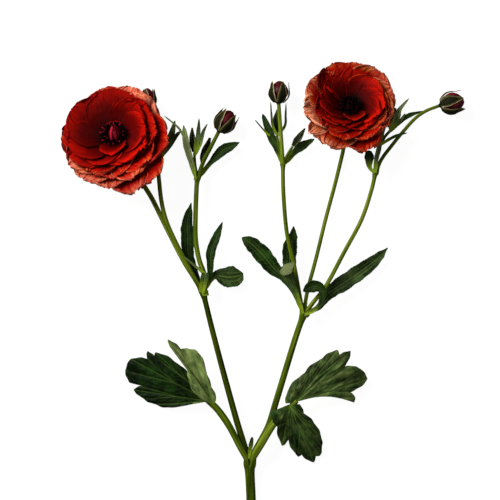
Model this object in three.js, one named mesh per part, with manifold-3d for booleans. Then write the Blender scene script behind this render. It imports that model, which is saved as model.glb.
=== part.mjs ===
// Persian buttercup (Ranunculus asiaticus): one cut, branching flower stem lying on its side,
// with two open blooms, four coloured buds, five small green buds and its leaves.
// Millimetres, +Z up. The stem runs along +Y and the surface it lies on is Z = 0.

import * as THREE from 'three';
import { mergeVertices } from 'three/addons/utils/BufferGeometryUtils.js';
import Module from 'manifold-3d';

const wasm = await Module();
wasm.setup();

// ---------------------------------------------------------------- driving dimensions
const SHEET = 0.7;            // thickness of a leaf or sepal blade
const PETAL_SHEET = 0.75;     // thickness of a bloom petal
const SEAT = 0.3;             // gap between a piece and what carries it
const SLIVER = 0.05;          // edges shorter than this, left by a cut, are closed up
const PINCH = 0.004;          // corners closer than this are drawn apart, by four times as much
const CUT_END_Y = -147;       // plane of the straight cut through the main stem
const FOLD = 14;              // degrees that each half of a leaf is raised along its midrib
const HUB_RADIUS = 3.4;       // receptacle on which the petals of a bloom stand
const HUB_HALF_HEIGHT = 1.5;
const EYE_RADIUS = 7.0;       // ring of dark stamens round the carpels
const PETAL_ROOT = 2.4;       // distance of a petal's root from the bloom's axis
const OVERLAP = 0.07;         // rise of a petal's one side over its neighbour, as a share of its half-width

// ---------------------------------------------------------------- stems: path and width from end to end
const STEMS = {
  main: {
    width: [5.4, 5.2],
    steps: 6,
    path: [[-6.1, -155, 2.55], [-6.3, -134, 2.6], [-6.6, -116, 2.8], [-7, -97.4, 3.4], [-7.9, -77.8, 4.7]],
  },
  branchLeft: {
    width: [3.8, 2.9],
    steps: 6,
    path: [[-7.9, -80.6, 4.6], [-9.5, -71.7, 5.4], [-15.2, -52.6, 6.4], [-22.1, -27.4, 7.6],
      [-28.7, -2.2, 8.4], [-34, 19.6, 8.4]],
  },
  branchRight: {
    width: [3.9, 3.3],
    steps: 6,
    path: [[-7.9, -80.6, 4.6], [-5, -71.1, 5.4], [2.5, -56.6, 6.2], [7.3, -41.4, 7], [17.5, -7.8, 8.4],
      [22.5, 6.7, 8.6]],
  },
  stalkBloomLeft: {
    width: [2.7, 2.6],
    steps: 11,
    path: [[-34, 19, 8.4], [-39.5, 28, 8], [-45.1, 37, 7.2], [-53.5, 53.2, 5.2], [-62.2, 70.6, 3.2],
      [-66.9, 78.4, 2.2], [-75, 92, 1.6], [-78.6, 98, 1.8], [-80.6, 101.5, 2.9], [-81.6, 103.6, 4.8]],
  },
  stalkBudBack: {
    width: [2.5, 2.3],
    steps: 8,
    path: [[-34, 19, 8.4], [-38.9, 27.4, 9.6], [-43.4, 35.8, 10.4], [-49.8, 48.2, 10.6], [-54.6, 59.4, 9.8],
      [-57.3, 70.6, 8.4], [-58.9, 84.6, 6.6], [-60.8, 98.6, 5.8], [-63.3, 112, 5.8], [-64.6, 120.6, 5.9]],
  },
  shootLeft: {
    width: [2.9, 2.5],
    steps: 8,
    path: [[-34, 19, 8.6], [-32.6, 24.1, 9.2], [-33.6, 30.2, 9.4], [-36, 37, 9.2], [-37.8, 46.5, 8.8],
      [-38.2, 56.6, 8.4], [-37.6, 76.2, 7.8], [-36.9, 84, 7.6]],
  },
  stalkBudLeft: {
    width: [2.4, 2.1],
    steps: 5,
    path: [[-37, 82.3, 7.6], [-33.9, 91.6, 7.6], [-29.8, 99.7, 7.6], [-25.4, 108.3, 7.3]],
  },
  stalkSmallLeft: {
    width: [1.7, 1.5],
    steps: 4,
    path: [[-37.1, 82.3, 7.4], [-38.4, 90.7, 6.8], [-38.8, 97.1, 6.6]],
  },
  stalkBloomRight: {
    width: [2.1, 2.2],
    steps: 12,
    path: [[22.5, 6.2, 8.6], [23.8, 15.7, 8.2], [25.4, 23, 7.8], [29.6, 38.6, 6.8], [34.7, 59.4, 5.2],
      [40.3, 80.1, 2.9], [44.8, 98.6, 1.5], [46.2, 107, 1.5], [47.4, 114, 1.8], [48.6, 118.4, 2.8],
      [49.3, 120.6, 4.6]],
  },
  branchFarRight: {
    width: [2.4, 2.2],
    steps: 7,
    path: [[22.5, 6.2, 8.6], [27.7, 13.2, 8.8], [35.2, 23, 9.2], [45.1, 41.4, 9.8], [54.7, 59.4, 9.8],
      [60.4, 76.2, 9.4], [62.7, 86.8, 9]],
  },
  stalkBudRight: {
    width: [2.1, 1.8],
    steps: 9,
    path: [[62.6, 85.1, 9], [65.8, 93, 9], [72, 101.4, 9], [78.4, 109.2, 8.6], [84.8, 116.2, 7.8],
      [91, 120.5, 7], [98.3, 123.4, 6.6]],
  },
  shootRight: {
    width: [2.0, 1.6],
    steps: 6,
    path: [[62.6, 85.1, 8.8], [62.7, 91.8, 7.2], [64.7, 99.1, 6.4], [67.5, 105.3, 6.2], [71.4, 110, 6.2]],
  },
  shootTop: {
    width: [2.4, 2.2],
    steps: 6,
    path: [[22.5, 6.7, 8.6], [21, 12.6, 9], [17.4, 32.5, 9], [14.8, 43.7, 8.8], [12.6, 55.4, 8.6],
      [11.1, 75, 8.4], [10.8, 91.8, 8.2]],
  },
  stalkBudTop: {
    width: [2.3, 2.1],
    steps: 4,
    path: [[10.8, 90.2, 8.2], [10.1, 101.4, 8.2], [9.3, 112.6, 8], [8.5, 124.2, 6.9]],
  },
  stalkSmallTop: {
    width: [1.5, 1.4],
    steps: 4,
    path: [[10.8, 90.7, 7.8], [8.7, 100.2, 5.4], [7.3, 108.4, 3.6]],
  },
  stalkSmallTopRight: {
    width: [1.5, 1.4],
    steps: 3,
    path: [[10.9, 91.3, 8], [13.7, 96.6, 7.6], [16.3, 100.6, 7.2]],
  },
};

// joints of the stem: centre and radius of each swelling
const KNOTS = [
  [[-7.9, -77.8, 4.7], 3.1],
  [[-34, 19, 8.4], 2.3],
  [[22.5, 6.7, 8.6], 2.4],
  [[-36.9, 83.2, 7.6], 1.8],
  [[10.8, 91, 8.2], 1.7],
  [[62.7, 85.7, 9], 1.7],
];

// -------------------------------------------------------- blooms: base of the cup, lean and rings of petals
// ring, from the outermost in: foot, open: angle from the axis at the root, curl: turn of the rim outwards,
// wrap: share by which the petals bend round the axis
// petals: azimuth, length, half-width and angle from the axis at the tip
// over: a round hump, such as a bud that lies under the bloom, on which the petals rest
const BLOOMS = {
  left: {
    base: [-82.6, 105.2, 8],
    lean: 28,
    towards: 122,
    over: { at: [-65.6, 128], height: 15.2, reach: 10 },
    rings: [
      { foot: -0.9, open: 86, cup: 0.03, ruffle: 1.1, curl: 8, wrap: 0.8,
        petals: [[-67, 35, 13, 86], [-46, 35, 13, 84], [-13, 31.5, 18, 66], [44, 28, 15, 64],
          [72, 28.5, 15, 68], [106, 29, 17, 70], [142, 28.5, 18, 70], [178, 29, 18, 70],
          [214, 28, 15, 74], [236, 28.5, 16, 78], [268, 29, 16, 82]] },
      { foot: -0.45, open: 79, cup: 0.05, ruffle: 0.8, curl: 4, wrap: 0.9,
        petals: [[299, 29.5, 12, 76], [318, 28, 14, 68], [0, 26, 16, 54], [37, 25, 15, 50],
          [244, 24.5, 13, 72], [274, 25, 13, 76]] },
      { foot: 0, open: 72, cup: 0.06, ruffle: 0.5, curl: 0, wrap: 1,
        petals: [[326, 24, 14, 52], [0, 21.5, 14, 44], [43, 22.5, 14.5, 42], [98, 26, 17, 58],
          [150, 28, 18, 60], [196, 25.5, 16, 58], [234, 21, 13, 64], [262, 17.5, 9, 66],
          [292, 19.5, 11, 66]] },
      { foot: 0.5, open: 60, cup: 0.15, ruffle: 0.3, curl: 0, wrap: 0.5,
        petals: [[274, 13, 8.5, 60]] },
    ],
  },
  right: {
    base: [49.7, 122.6, 7.6],
    lean: 28,
    towards: 84,
    over: null,
    rings: [
      { foot: -0.9, open: 86, cup: 0.03, ruffle: 1.1, curl: 8, wrap: 0.8,
        petals: [[-76, 27.5, 12, 82], [-119, 27.5, 13, 84], [-144, 27.5, 6.5, 88], [-172, 25.5, 16, 74],
          [150, 26, 15, 74], [118, 26, 15, 70], [86, 25, 15, 70], [54, 25, 15, 68],
          [20, 22.5, 15, 64], [-12, 21.5, 13, 64], [-40, 22, 12, 68]] },
      { foot: -0.45, open: 79, cup: 0.05, ruffle: 0.8, curl: 4, wrap: 0.9,
        petals: [[0, 19, 14, 60], [228, 21.5, 11, 64], [252, 23.5, 11, 70], [288, 23, 12, 70],
          [321, 19.5, 13, 62]] },
      { foot: 0, open: 72, cup: 0.06, ruffle: 0.5, curl: 0, wrap: 1,
        petals: [[-6, 17.5, 13, 50], [45, 18.5, 14, 50], [90, 19.5, 15, 54], [135, 19, 14, 54],
          [182, 18.5, 14, 52], [223, 18, 10, 54], [257, 16.5, 9, 58], [291, 17.5, 11, 64],
          [326, 16, 11, 50]] },
      { foot: 0.5, open: 60, cup: 0.15, ruffle: 0.3, curl: 0, wrap: 0.5,
        petals: [[274, 13, 6.5, 50]] },
    ],
  },
};

// ---------------------------------------------------------------- buds
// aim: direction of the bud over the surface and its rise, in degrees
const BUDS = {
  left: { base: [-25.1, 108.9, 7.2], aim: [57, 2], radius: 6.1, height: 13.6, gape: 0.62, turn: 20 },
  back: { base: [-64.7, 121.2, 5.9], aim: [93, 0], radius: 5.2, height: 12.2, gape: 0.66, turn: 50 },
  top: { base: [8.4, 124.8, 6.8], aim: [87, 0], radius: 6.1, height: 12.6, gape: 0.78, turn: 0 },
  right: { base: [98.9, 123.6, 6.8], aim: [12, 0], radius: 6.1, height: 14, gape: 0.74, turn: 35 },
};

const SMALL_BUDS = {
  small_bud_left: {
    path: [[-38.9, 97.6, 6.6], [-39.9, 104, 6.4], [-40, 111.2, 6.4]],
    width: [2.2, 3.6, 3.4, 0.9],
  },
  small_bud_left_low: {
    path: [[-34.4, 90.6, 5.6], [-33.2, 96.4, 4.4], [-30, 105.6, 4]],
    width: [1.2, 3.6, 4.0, 1.2],
  },
  small_bud_top: {
    path: [[7.3, 108.6, 3.5], [7.5, 115, 3.2], [7.8, 121.6, 3.2]],
    width: [2.6, 5.2, 4.6, 1.2],
  },
  small_bud_top_right: {
    path: [[16.4, 100.8, 7.2], [19.8, 105.6, 7.4], [23.2, 110.8, 7.6]],
    width: [1.8, 4.2, 3.2, 0.9],
  },
  small_bud_right: {
    path: [[71.2, 110.2, 5.6], [71.6, 116, 4.4], [74, 122.4, 4.2]],
    width: [1.6, 4.4, 4.6, 1.2],
  },
};

// ---------------------------------------------------------------- leaves
// blade: path of the midrib with half-widths along it; fan: root, edge points and arch of a broad leaflet
const LEAF_SPRAYS = {
  leaf_lower_left: {
    petioles: [{
      path: [[-8.8, -75.4, 5.4], [-13.4, -67.2, 7.8], [-17.1, -59.9, 8], [-21, -53.2, 7.8], [-26, -46.5, 7.4],
        [-31.6, -41.2, 6.8]],
      width: [3.5, 3.4, 2.8],
      steps: 8,
    }],
    fans: [
      {
        root: [-30.4, -42, 6.9],
        arch: 1.6,
        edge: [[-36.5, -34.5, 8.2], [-41.4, -28, 8.7], [-50.1, -19.6, 9], [-60.5, -14.6, 7.5],
          [-61.3, -17, 7.3], [-65.1, -14, 6.8], [-65.4, -18.4, 6.4], [-74.5, -18.4, 5.2],
          [-77.7, -25.2, 3.6], [-75.3, -31.9, 2.8], [-67.7, -31.6, 4.6], [-68.6, -33.6, 4.2],
          [-73.1, -35.8, 2.8], [-67.5, -40.9, 3], [-60.2, -44.2, 3.6], [-51, -45.9, 4.2], [-44.5, -43.5, 5],
          [-38.5, -43, 6]],
      },
      {
        root: [-27.6, -44.6, 7.6],
        arch: 1.2,
        edge: [[-25.4, -38.4, 9], [-29, -28.6, 10.8], [-32.3, -21.8, 12.6], [-37, -12.9, 13.6],
          [-41, -13.2, 12.4], [-46, -14.6, 11.6], [-53.5, -7.3, 12], [-52.5, -10.6, 12.6],
          [-46.5, -18.8, 13.4], [-42.3, -23.5, 13.4], [-41.2, -32.5, 12], [-35.4, -40.6, 9]],
      },
    ],
  },
  leaf_lower_right: {
    petioles: [{
      path: [[-6.9, -75, 5.6], [-1.5, -66.1, 9.6], [4.4, -56.3, 10.4], [9.5, -50.4, 10.6],
        [18.6, -41.7, 10.6]],
      width: [4.2, 4.2, 2.8],
      steps: 8,
    }],
    fans: [
      {
        root: [17.6, -42.6, 10.6],
        arch: 1.6,
        edge: [[12.3, -43.2, 9.4], [13.7, -35.8, 10.4], [23, -26, 11.4], [32.8, -17.9, 10.4],
          [41.2, -13.2, 8.8], [42.6, -16, 8.6], [48.8, -13.8, 7.4], [45.5, -22.8, 8], [50.1, -22.4, 7.4],
          [55, -24.5, 6.4], [58.4, -29.7, 5], [48.8, -37.3, 6], [50.9, -43.1, 4.4], [41.2, -42, 6.4],
          [25.2, -40.6, 9.2]],
      },
      {
        root: [13.2, -46.8, 12],
        arch: 2.6,
        edge: [[3.6, -48.9, 13.2], [7.6, -56, 13], [10.4, -67.2, 8], [13.9, -63.6, 9], [19.3, -73.4, 5.4],
          [28.1, -76.9, 2.2], [31.6, -72.8, 3.2], [32.8, -67.8, 4.4], [31.4, -61, 6.6], [28.3, -54.3, 9.4],
          [22, -48.7, 12], [20.4, -43.4, 13]],
      },
    ],
  },
  bract_fork: {
    blades: [{
      path: [[-8.2, -74.4, 7.9], [-7.8, -70.6, 8.6], [-7, -66, 8.8], [-6.3, -62, 8.4]],
      half: [0.7, 0.9, 1.3, 0.8],
    }],
  },
  leaves_left_node: {
    blades: [
      { path: [[-34.4, 18.4, 6.2], [-38, 29, 4.4], [-42, 39, 4], [-42.7, 49, 4.4], [-42.8, 58.2, 4.8],
        [-40.6, 69.2, 4.4]], half: [1.1, 1.6, 3.2, 3.8, 3.2, 0.7] },
      { path: [[-33.4, 19.6, 6.4], [-30.2, 28, 6], [-29.6, 41, 6.6], [-26.6, 49.6, 6], [-23, 58.4, 4.6]],
        half: [1.1, 1.3, 2.7, 2.4, 0.6] },
      { path: [[-33.2, 19.4, 6.2], [-29.6, 25.8, 5], [-26.6, 28.2, 4.4], [-20, 27.4, 4.2], [-15, 28, 3.8],
        [-11.4, 29.6, 3]], half: [1.1, 1.2, 2.6, 6.4, 5.6, 1.4] },
      { path: [[-34.6, 18.4, 11], [-33.6, 24, 12.2], [-32.4, 30.4, 12.4]], half: [1.5, 2.1, 2.2] },
      { path: [[-32.2, 28.6, 12.3], [-38, 33.5, 12.9], [-44.4, 38.8, 13]], half: [1, 0.7, 0.5] },
      { path: [[-34.4, 18, 11.4], [-31, 18.6, 9], [-33, 18.4, 6]], half: [1.3, 1.5, 1.3] },
    ],
  },
  leaves_right_node: {
    blades: [
      { path: [[22.6, 6, 6], [17.6, 17.9, 5.4], [11.5, 26.6, 5], [5.3, 32.7, 5], [-0.8, 40.2, 5],
        [-7, 46.2, 4.6], [-12.2, 49.6, 3.8]], half: [1.2, 1.3, 1.9, 4.3, 5, 4, 1.6] },
      { path: [[22.4, 7, 6.2], [18.8, 19, 6], [14.8, 33, 5.2], [14.8, 43.7, 5], [16.4, 50, 5],
        [16.9, 56, 4.6]],
        half: [1, 1.3, 3.6, 4.3, 2.6, 0.6] },
      { path: [[22.2, 6.6, 11.2], [18, 18, 12.2], [14, 28, 13.4], [12.2, 34.4, 14.8], [11.8, 32, 17.2],
        [11.4, 28.4, 18]], half: [1.4, 1.5, 3, 5.2, 5.4, 3] },
      { path: [[23, 6.4, 11.2], [29, 9.6, 12], [32.6, 14, 12.6], [32.6, 20.4, 13.2], [28, 22.6, 13.8],
        [22, 19.6, 13.4]], half: [1.2, 1.1, 1.2, 2.2, 4, 1.8] },
      { path: [[22.8, 7, 6], [25.6, 6, 8.6], [22.6, 6.4, 11.6]], half: [1.3, 1.5, 1.3] },
    ],
  },
  leaf_right_long: {
    blades: [{
      path: [[25, 7.8, 5.6], [31.1, 10.8, 6], [36.4, 18.3, 6], [46.8, 25.4, 5.4], [60.6, 35.2, 4.4],
        [69.9, 43.9, 3]],
      half: [1.2, 1.5, 3.7, 4.7, 3.9, 0.7],
    }],
  },
  bracts_bud_back: {
    blades: [
      { path: [[-59.6, 92, 8], [-54.6, 100, 9.2], [-51.6, 107, 9.4], [-49.6, 115, 9]],
        half: [1.1, 2, 2, 0.6] },
      { path: [[-59.6, 92.4, 8], [-53, 100.6, 7.6], [-49, 106.5, 7.6], [-46.6, 109, 7.8]],
        half: [1, 1.4, 1.2, 0.6] },
    ],
  },
  leaves_upper_left: {
    blades: [
      { path: [[-36.4, 83, 5], [-30.5, 90.7, 5], [-23.2, 98.3, 4.6], [-18.8, 100.6, 4.6], [-13.5, 103, 5]],
        half: [1.4, 1.5, 3.1, 2.6, 0.8] },
      { path: [[-38, 82.6, 9.6], [-40.2, 91, 10.4], [-42.7, 99.5, 11.4], [-43.9, 106.5, 12],
        [-44.7, 112.4, 12.4]],
        half: [1.1, 1.8, 2.3, 2.1, 0.6] },
      { path: [[-43.4, 103, 11.6], [-47.3, 110.5, 12.6], [-55.4, 117.4, 13]], half: [1, 0.8, 0.5] },
      { path: [[-37.4, 82.6, 10], [-39.8, 83, 7.4], [-36.2, 82.8, 4.8]], half: [1.3, 1.4, 1.3] },
    ],
  },
  prongs_upper_left: {
    blades: [
      { path: [[-38.8, 95, 8.2], [-37.2, 103, 9.4], [-36.4, 110, 9.6], [-36.1, 116.3, 9.2]],
        half: [1, 1.9, 1.4, 0.5] },
      { path: [[-38.6, 95, 8.2], [-35.6, 102.6, 9.6], [-33.8, 108.6, 9.8], [-31.4, 113.3, 9.4]],
        half: [1, 1.7, 1.3, 0.5] },
    ],
  },
  leaves_upper_middle: {
    blades: [
      { path: [[10.4, 90.6, 6], [8.4, 97, 4.6], [4.5, 105.8, 4], [1.3, 114, 4.2], [-0.6, 119, 4.2]],
        half: [1.1, 1.4, 2.4, 1.8, 0.6] },
      { path: [[3.6, 106.6, 4.2], [0.6, 109.4, 4.8], [-4.8, 115.6, 5]], half: [0.9, 0.6, 0.5] },
      { path: [[11.4, 90.4, 6], [17, 97.2, 4.6], [22, 101.2, 4.2], [28.6, 104.9, 4.6]],
        half: [1.1, 1.8, 2.6, 0.7] },
    ],
  },
  bracts_small_top: {
    blades: [
      { path: [[7.7, 106.6, 5.4], [5.2, 112, 6.8], [4.4, 118.6, 7], [4, 125.4, 6.6]],
        half: [0.9, 1.2, 1.1, 0.5] },
      { path: [[7.9, 106.6, 5.4], [12, 112.4, 5.6], [12.4, 118.6, 5.4], [12.6, 125, 5]],
        half: [0.9, 1.2, 1.1, 0.5] },
    ],
  },
  leaves_upper_right: {
    blades: [
      { path: [[62.4, 85.6, 11], [63, 93, 9.6], [64.6, 99.6, 8.8], [66, 106.6, 8.8], [68.4, 112, 8.6]],
        half: [1.3, 2.2, 2.6, 2.2, 0.7] },
      { path: [[65, 101.2, 8.8], [70, 104.4, 10.6], [75, 106.8, 11.2], [80.4, 108.1, 10.8]],
        half: [1, 1.2, 1.1, 0.5] },
      { path: [[62, 85.4, 11], [59.4, 89, 9.4], [59.2, 94.6, 8.4], [58.6, 98.4, 8]],
        half: [1, 1.9, 2.9, 1.2] },
    ],
  },
  leaves_shoot_right: {
    blades: [
      { path: [[70.2, 108.4, 7.8], [73.8, 115.2, 8.2], [76, 121, 8.4], [81.5, 127.6, 8.2]],
        half: [1, 2.3, 2.3, 0.6] },
      { path: [[70.4, 108.2, 7.8], [77, 114.6, 5.8], [81.5, 118, 4.9], [89.3, 120.6, 4.4]],
        half: [1, 1.8, 2, 0.6] },
      { path: [[70.4, 108.6, 7.8], [75.4, 113.4, 7.8], [79.4, 119, 8]], half: [0.9, 0.9, 0.6] },
    ],
  },
};

// ---------------------------------------------------------------- colours
const MATERIALS = {
  stem: { color: 0x5b7d1f, roughness: 0.55 },
  leaf: { color: 0x1f4a22, roughness: 0.6 },
  petal: { color: 0xa31208, roughness: 0.42 },
  eye: { color: 0x1c060c, roughness: 0.7 },
  budPetal: { color: 0x3d0712, roughness: 0.45 },
  sepal: { color: 0x2c3320, roughness: 0.6 },
};

// ---------------------------------------------------------------- small tools
const degrees = (angle) => angle * Math.PI / 180;
const mix = (a, b, t) => a + (b - a) * t;

// smooth rise from 0 to 1 as a value goes from low to high
const rise = (low, high, value) => THREE.MathUtils.smoothstep(value, low, high);
const vector = (point) => new THREE.Vector3(...point);

// value at t of a list of values spread evenly from 0 to 1
function along(values, t) {
  const place = t * (values.length - 1);
  const low = Math.min(Math.floor(place), values.length - 2);
  return mix(values[low], values[low + 1], place - low);
}

// ---------------------------------------------------------------- solids
function solidOf(points, triangles) {
  return new wasm.Manifold(new wasm.Mesh({
    numProp: 3,
    vertProperties: new Float32Array(points.flatMap((p) => [p.x, p.y, p.z])),
    triVerts: new Uint32Array(triangles.flat()),
  }));
}

function solidOfGeometry(geometry) {
  geometry.deleteAttribute('normal');
  geometry.deleteAttribute('uv');
  const merged = mergeVertices(geometry, 1e-4);
  return new wasm.Manifold(new wasm.Mesh({
    numProp: 3,
    vertProperties: merged.attributes.position.array,
    triVerts: new Uint32Array(merged.index.array),
  }));
}

function united(solids) {
  return solids.reduce((all, next) => all.add(next));
}

// the main body of a solid, without the scraps and slivers that a cut leaves
function mainBody(solid) {
  const bodies = solid.asOriginal().simplify(SLIVER).decompose();
  return bodies.reduce((best, body) => (body.volume() > best.volume() ? body : best));
}

// points along a path, each with its direction, the side direction carried along it and the upward one
function stations(path, steps) {
  const curve = new THREE.CatmullRomCurve3(path.map(vector), false, 'catmullrom', 0.5);
  const found = [];
  let side = null;
  for (let i = 0; i <= steps; i += 1) {
    const at = curve.getPoint(i / steps);
    const ahead = curve.getTangent(i / steps);
    if (side === null) {
      side = new THREE.Vector3().crossVectors(ahead, new THREE.Vector3(0, 0, 1));
    }
    side = side.clone().addScaledVector(ahead, -side.dot(ahead)).normalize();
    const up = new THREE.Vector3().crossVectors(side, ahead);
    found.push({ at, side, up });
  }
  return found;
}

// closed tube of round sections along a path
function tube({ path, width, steps }, sides, grow = 0) {
  const points = [];
  const triangles = [];
  stations(path, steps).forEach(({ at, side, up }, i) => {
    const radius = along(width, i / steps) / 2 + grow;
    for (let k = 0; k < sides; k += 1) {
      const angle = 2 * Math.PI * k / sides;
      points.push(at.clone().addScaledVector(side, radius * Math.cos(angle))
        .addScaledVector(up, radius * Math.sin(angle)));
    }
  });
  for (let i = 0; i < steps; i += 1) {
    for (let k = 0; k < sides; k += 1) {
      const a = i * sides + k;
      const b = i * sides + (k + 1) % sides;
      triangles.push([a, b, b + sides], [a, b + sides, a + sides]);
    }
  }
  const last = steps * sides;
  for (let k = 1; k < sides - 1; k += 1) {
    triangles.push([0, k + 1, k], [last, last + k, last + k + 1]);
  }
  const body = solidOf(points, triangles);
  return body.volume() > 0 ? body : solidOf(points, triangles.map(([a, b, c]) => [a, c, b]));
}

// a point held at or over a height
function held(point, height) {
  return point.setZ(Math.max(point.z, height));
}

// closed sheet of even thickness round a grid of points; both faces are split alike,
// and what would reach under the lowest height lies flat on it
function sheet(grid, thickness, lowest = -Infinity) {
  const rows = grid.length;
  const columns = grid[0].length;
  const top = [];
  const bottom = [];
  for (let i = 0; i < rows; i += 1) {
    for (let j = 0; j < columns; j += 1) {
      const alongRow = grid[Math.min(i + 1, rows - 1)][j].clone().sub(grid[Math.max(i - 1, 0)][j]);
      const across = grid[i][Math.min(j + 1, columns - 1)].clone().sub(grid[i][Math.max(j - 1, 0)]);
      const normal = alongRow.cross(across).normalize();
      top.push(held(grid[i][j].clone().addScaledVector(normal, thickness / 2), lowest + thickness));
      bottom.push(held(grid[i][j].clone().addScaledVector(normal, -thickness / 2), lowest));
    }
  }
  const under = rows * columns;
  const triangles = [];
  for (let i = 0; i < rows - 1; i += 1) {
    for (let j = 0; j < columns - 1; j += 1) {
      const a = i * columns + j;
      const b = a + columns;
      triangles.push([a, b, b + 1], [a, b + 1, a + 1]);
      triangles.push([under + a, under + b + 1, under + b], [under + a, under + a + 1, under + b + 1]);
    }
  }
  const rim = [];
  for (let i = 0; i < rows - 1; i += 1) rim.push([i * columns, (i + 1) * columns]);
  for (let j = 0; j < columns - 1; j += 1) rim.push([(rows - 1) * columns + j, (rows - 1) * columns + j + 1]);
  for (let i = rows - 1; i > 0; i -= 1) rim.push([(i + 1) * columns - 1, i * columns - 1]);
  for (let j = columns - 1; j > 0; j -= 1) rim.push([j, j - 1]);
  rim.forEach(([a, b]) => triangles.push([b, a, under + a], [b, under + a, under + b]));
  return solidOf([...top, ...bottom], triangles);
}

// narrow leaf along its midrib, each half raised by FOLD
function blade({ path, half }) {
  const steps = path.length;
  const lift = Math.sin(degrees(FOLD));
  const grid = stations(path, steps).map(({ at, side, up }, i) => {
    const reach = along(half, i / steps);
    return [-1, 0, 1].map((edge) => at.clone().addScaledVector(side, edge * reach)
      .addScaledVector(up, Math.abs(edge) * reach * lift));
  });
  return sheet(grid, SHEET);
}

// broad leaflet: rays from its root to the points of its edge, arched between the two
function fan({ root, edge, arch }) {
  const start = vector(root);
  const grid = edge.map((point) => [0.06, 0.5, 1].map((t) => {
    const spot = start.clone().lerp(vector(point), t);
    spot.z += arch * Math.sin(Math.PI * t);
    return spot;
  }));
  return sheet(grid, SHEET);
}

function lathe(profile, segments) {
  const geometry = new THREE.LatheGeometry(profile.map(([r, z]) => new THREE.Vector2(r, z)), segments);
  geometry.rotateX(Math.PI / 2);
  return solidOfGeometry(geometry);
}

function ball(centre, radius) {
  const geometry = new THREE.IcosahedronGeometry(radius, 1);
  geometry.translate(...centre);
  return solidOfGeometry(geometry);
}

// ---------------------------------------------------------------- placing
// frame of a bloom: its axis leans from upright towards a compass direction
function bloomFrame({ base, lean, towards }) {
  const hinge = new THREE.Vector3(-Math.sin(degrees(towards)), Math.cos(degrees(towards)), 0);
  const turn = new THREE.Matrix4().makeRotationAxis(hinge, degrees(lean));
  return new THREE.Matrix4().makeTranslation(...base).multiply(turn);
}

// frame of a bud: its axis points along its aim
function budFrame({ base, aim, turn }) {
  const [heading, tilt] = aim.map(degrees);
  const axis = new THREE.Vector3(Math.cos(heading) * Math.cos(tilt), Math.sin(heading) * Math.cos(tilt),
    Math.sin(tilt));
  const swing = new THREE.Quaternion().setFromUnitVectors(new THREE.Vector3(0, 0, 1), axis);
  const spin = new THREE.Quaternion().setFromAxisAngle(new THREE.Vector3(0, 0, 1), degrees(turn));
  return new THREE.Matrix4().compose(vector(base), swing.multiply(spin), new THREE.Vector3(1, 1, 1));
}

// ---------------------------------------------------------------- bloom
// outline of a petal: narrow claw, broad blade, blunt round end
function petalWidth(t) {
  const claw = 0.22 + 0.78 * Math.min(t / 0.62, 1) ** 0.8;
  const end = (1 - ((Math.max(t, 0.7) - 0.7) / 0.31) ** 2.8) ** (1 / 2.8);
  return claw * end;
}

// distance from the axis, height and slope of a petal's middle line at t from root to tip
function petalLine(ring, [, length, , tip], t) {
  const slope = (at) => degrees(mix(ring.open, tip, at) + ring.curl * rise(0.8, 1.02, at) ** 1.5);
  const parts = 20;
  let radius = ring.root ?? PETAL_ROOT;
  let height = ring.foot;
  for (let k = 0; k < parts; k += 1) {
    const middle = slope(t * (k + 0.5) / parts);
    radius += length * t * Math.sin(middle) / parts;
    height += length * t * Math.cos(middle) / parts;
  }
  return [radius, height, slope(t)];
}

// point of a petal, t from root to tip and v from side to side
function petalPoint(ring, petal, t, v) {
  const [radius, height, slope] = petalLine(ring, petal, t);
  const reach = petal[2] * petalWidth(t);
  const ruffle = ring.ruffle * t * t * Math.sin(4 * v + degrees(5 * petal[0]));
  const bow = reach * (ring.cup * v * v + OVERLAP * v) + ruffle;
  const outward = radius - bow * Math.cos(slope);
  const upward = height + bow * Math.sin(slope);
  const sideways = v * reach * (1 - ring.wrap);
  const turn = degrees(petal[0]) + v * reach * ring.wrap / radius;
  return new THREE.Vector3(
    outward * Math.cos(turn) - sideways * Math.sin(turn),
    outward * Math.sin(turn) + sideways * Math.cos(turn),
    upward,
  );
}

// height of what lies under a bloom's petals at a place
function supportUnder(over, x, y) {
  if (over === null) return 0;
  const distance = Math.hypot(x - over.at[0], y - over.at[1]);
  return over.height * Math.exp(-((distance / over.reach) ** 2));
}

function bloomPetals(bloom, frame) {
  const hub = [[0, -HUB_HALF_HEIGHT], [HUB_RADIUS, -0.9], [HUB_RADIUS, 0.7], [0, HUB_HALF_HEIGHT]];
  const solids = [lathe(hub, 9).transform(frame.elements)];
  bloom.rings.forEach((ring) => {
    ring.petals.forEach((petal) => {
      const grid = [0, 0.3, 0.6, 0.86, 1].map((t) => [-1, -0.4, 0.4, 1].map((v) => {
        const point = petalPoint(ring, petal, t, v).applyMatrix4(frame);
        return held(point, supportUnder(bloom.over, point.x, point.y) + PETAL_SHEET / 2);
      }));
      solids.push(sheet(grid, PETAL_SHEET, 0));
    });
  });
  return united(solids);
}

// room that the eye takes in the cup
function eyeRoom(frame) {
  return lathe([[0, 1.2], [2.6, 1.2], [EYE_RADIUS + 0.6, 6], [EYE_RADIUS + 0.6, 9], [0, 12.5]], 12)
    .transform(frame.elements);
}

// cone of carpels with a ring of stamens that stand out from its foot
function bloomEye(frame) {
  const foot = HUB_HALF_HEIGHT + SEAT;
  const solids = [lathe([[0, foot], [2, foot], [3.4, 4.6], [2.9, 8], [1.5, 11.2], [0, 13]], 8)];
  const stamens = 11;
  for (let k = 0; k < stamens; k += 1) {
    const angle = 2 * Math.PI * k / stamens;
    const tip = EYE_RADIUS - 0.7 * (k % 2);
    const spread = (r, z) => [r * Math.cos(angle), r * Math.sin(angle), z];
    const path = [spread(1.2, 2.9), spread(0.6 * tip, 4.2), spread(tip - 0.6, 6.6 + 0.8 * (k % 3))];
    solids.push(tube({ path, width: [1, 1, 1.9], steps: 2 }, 4));
  }
  return united(solids).transform(frame.elements);
}

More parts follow.
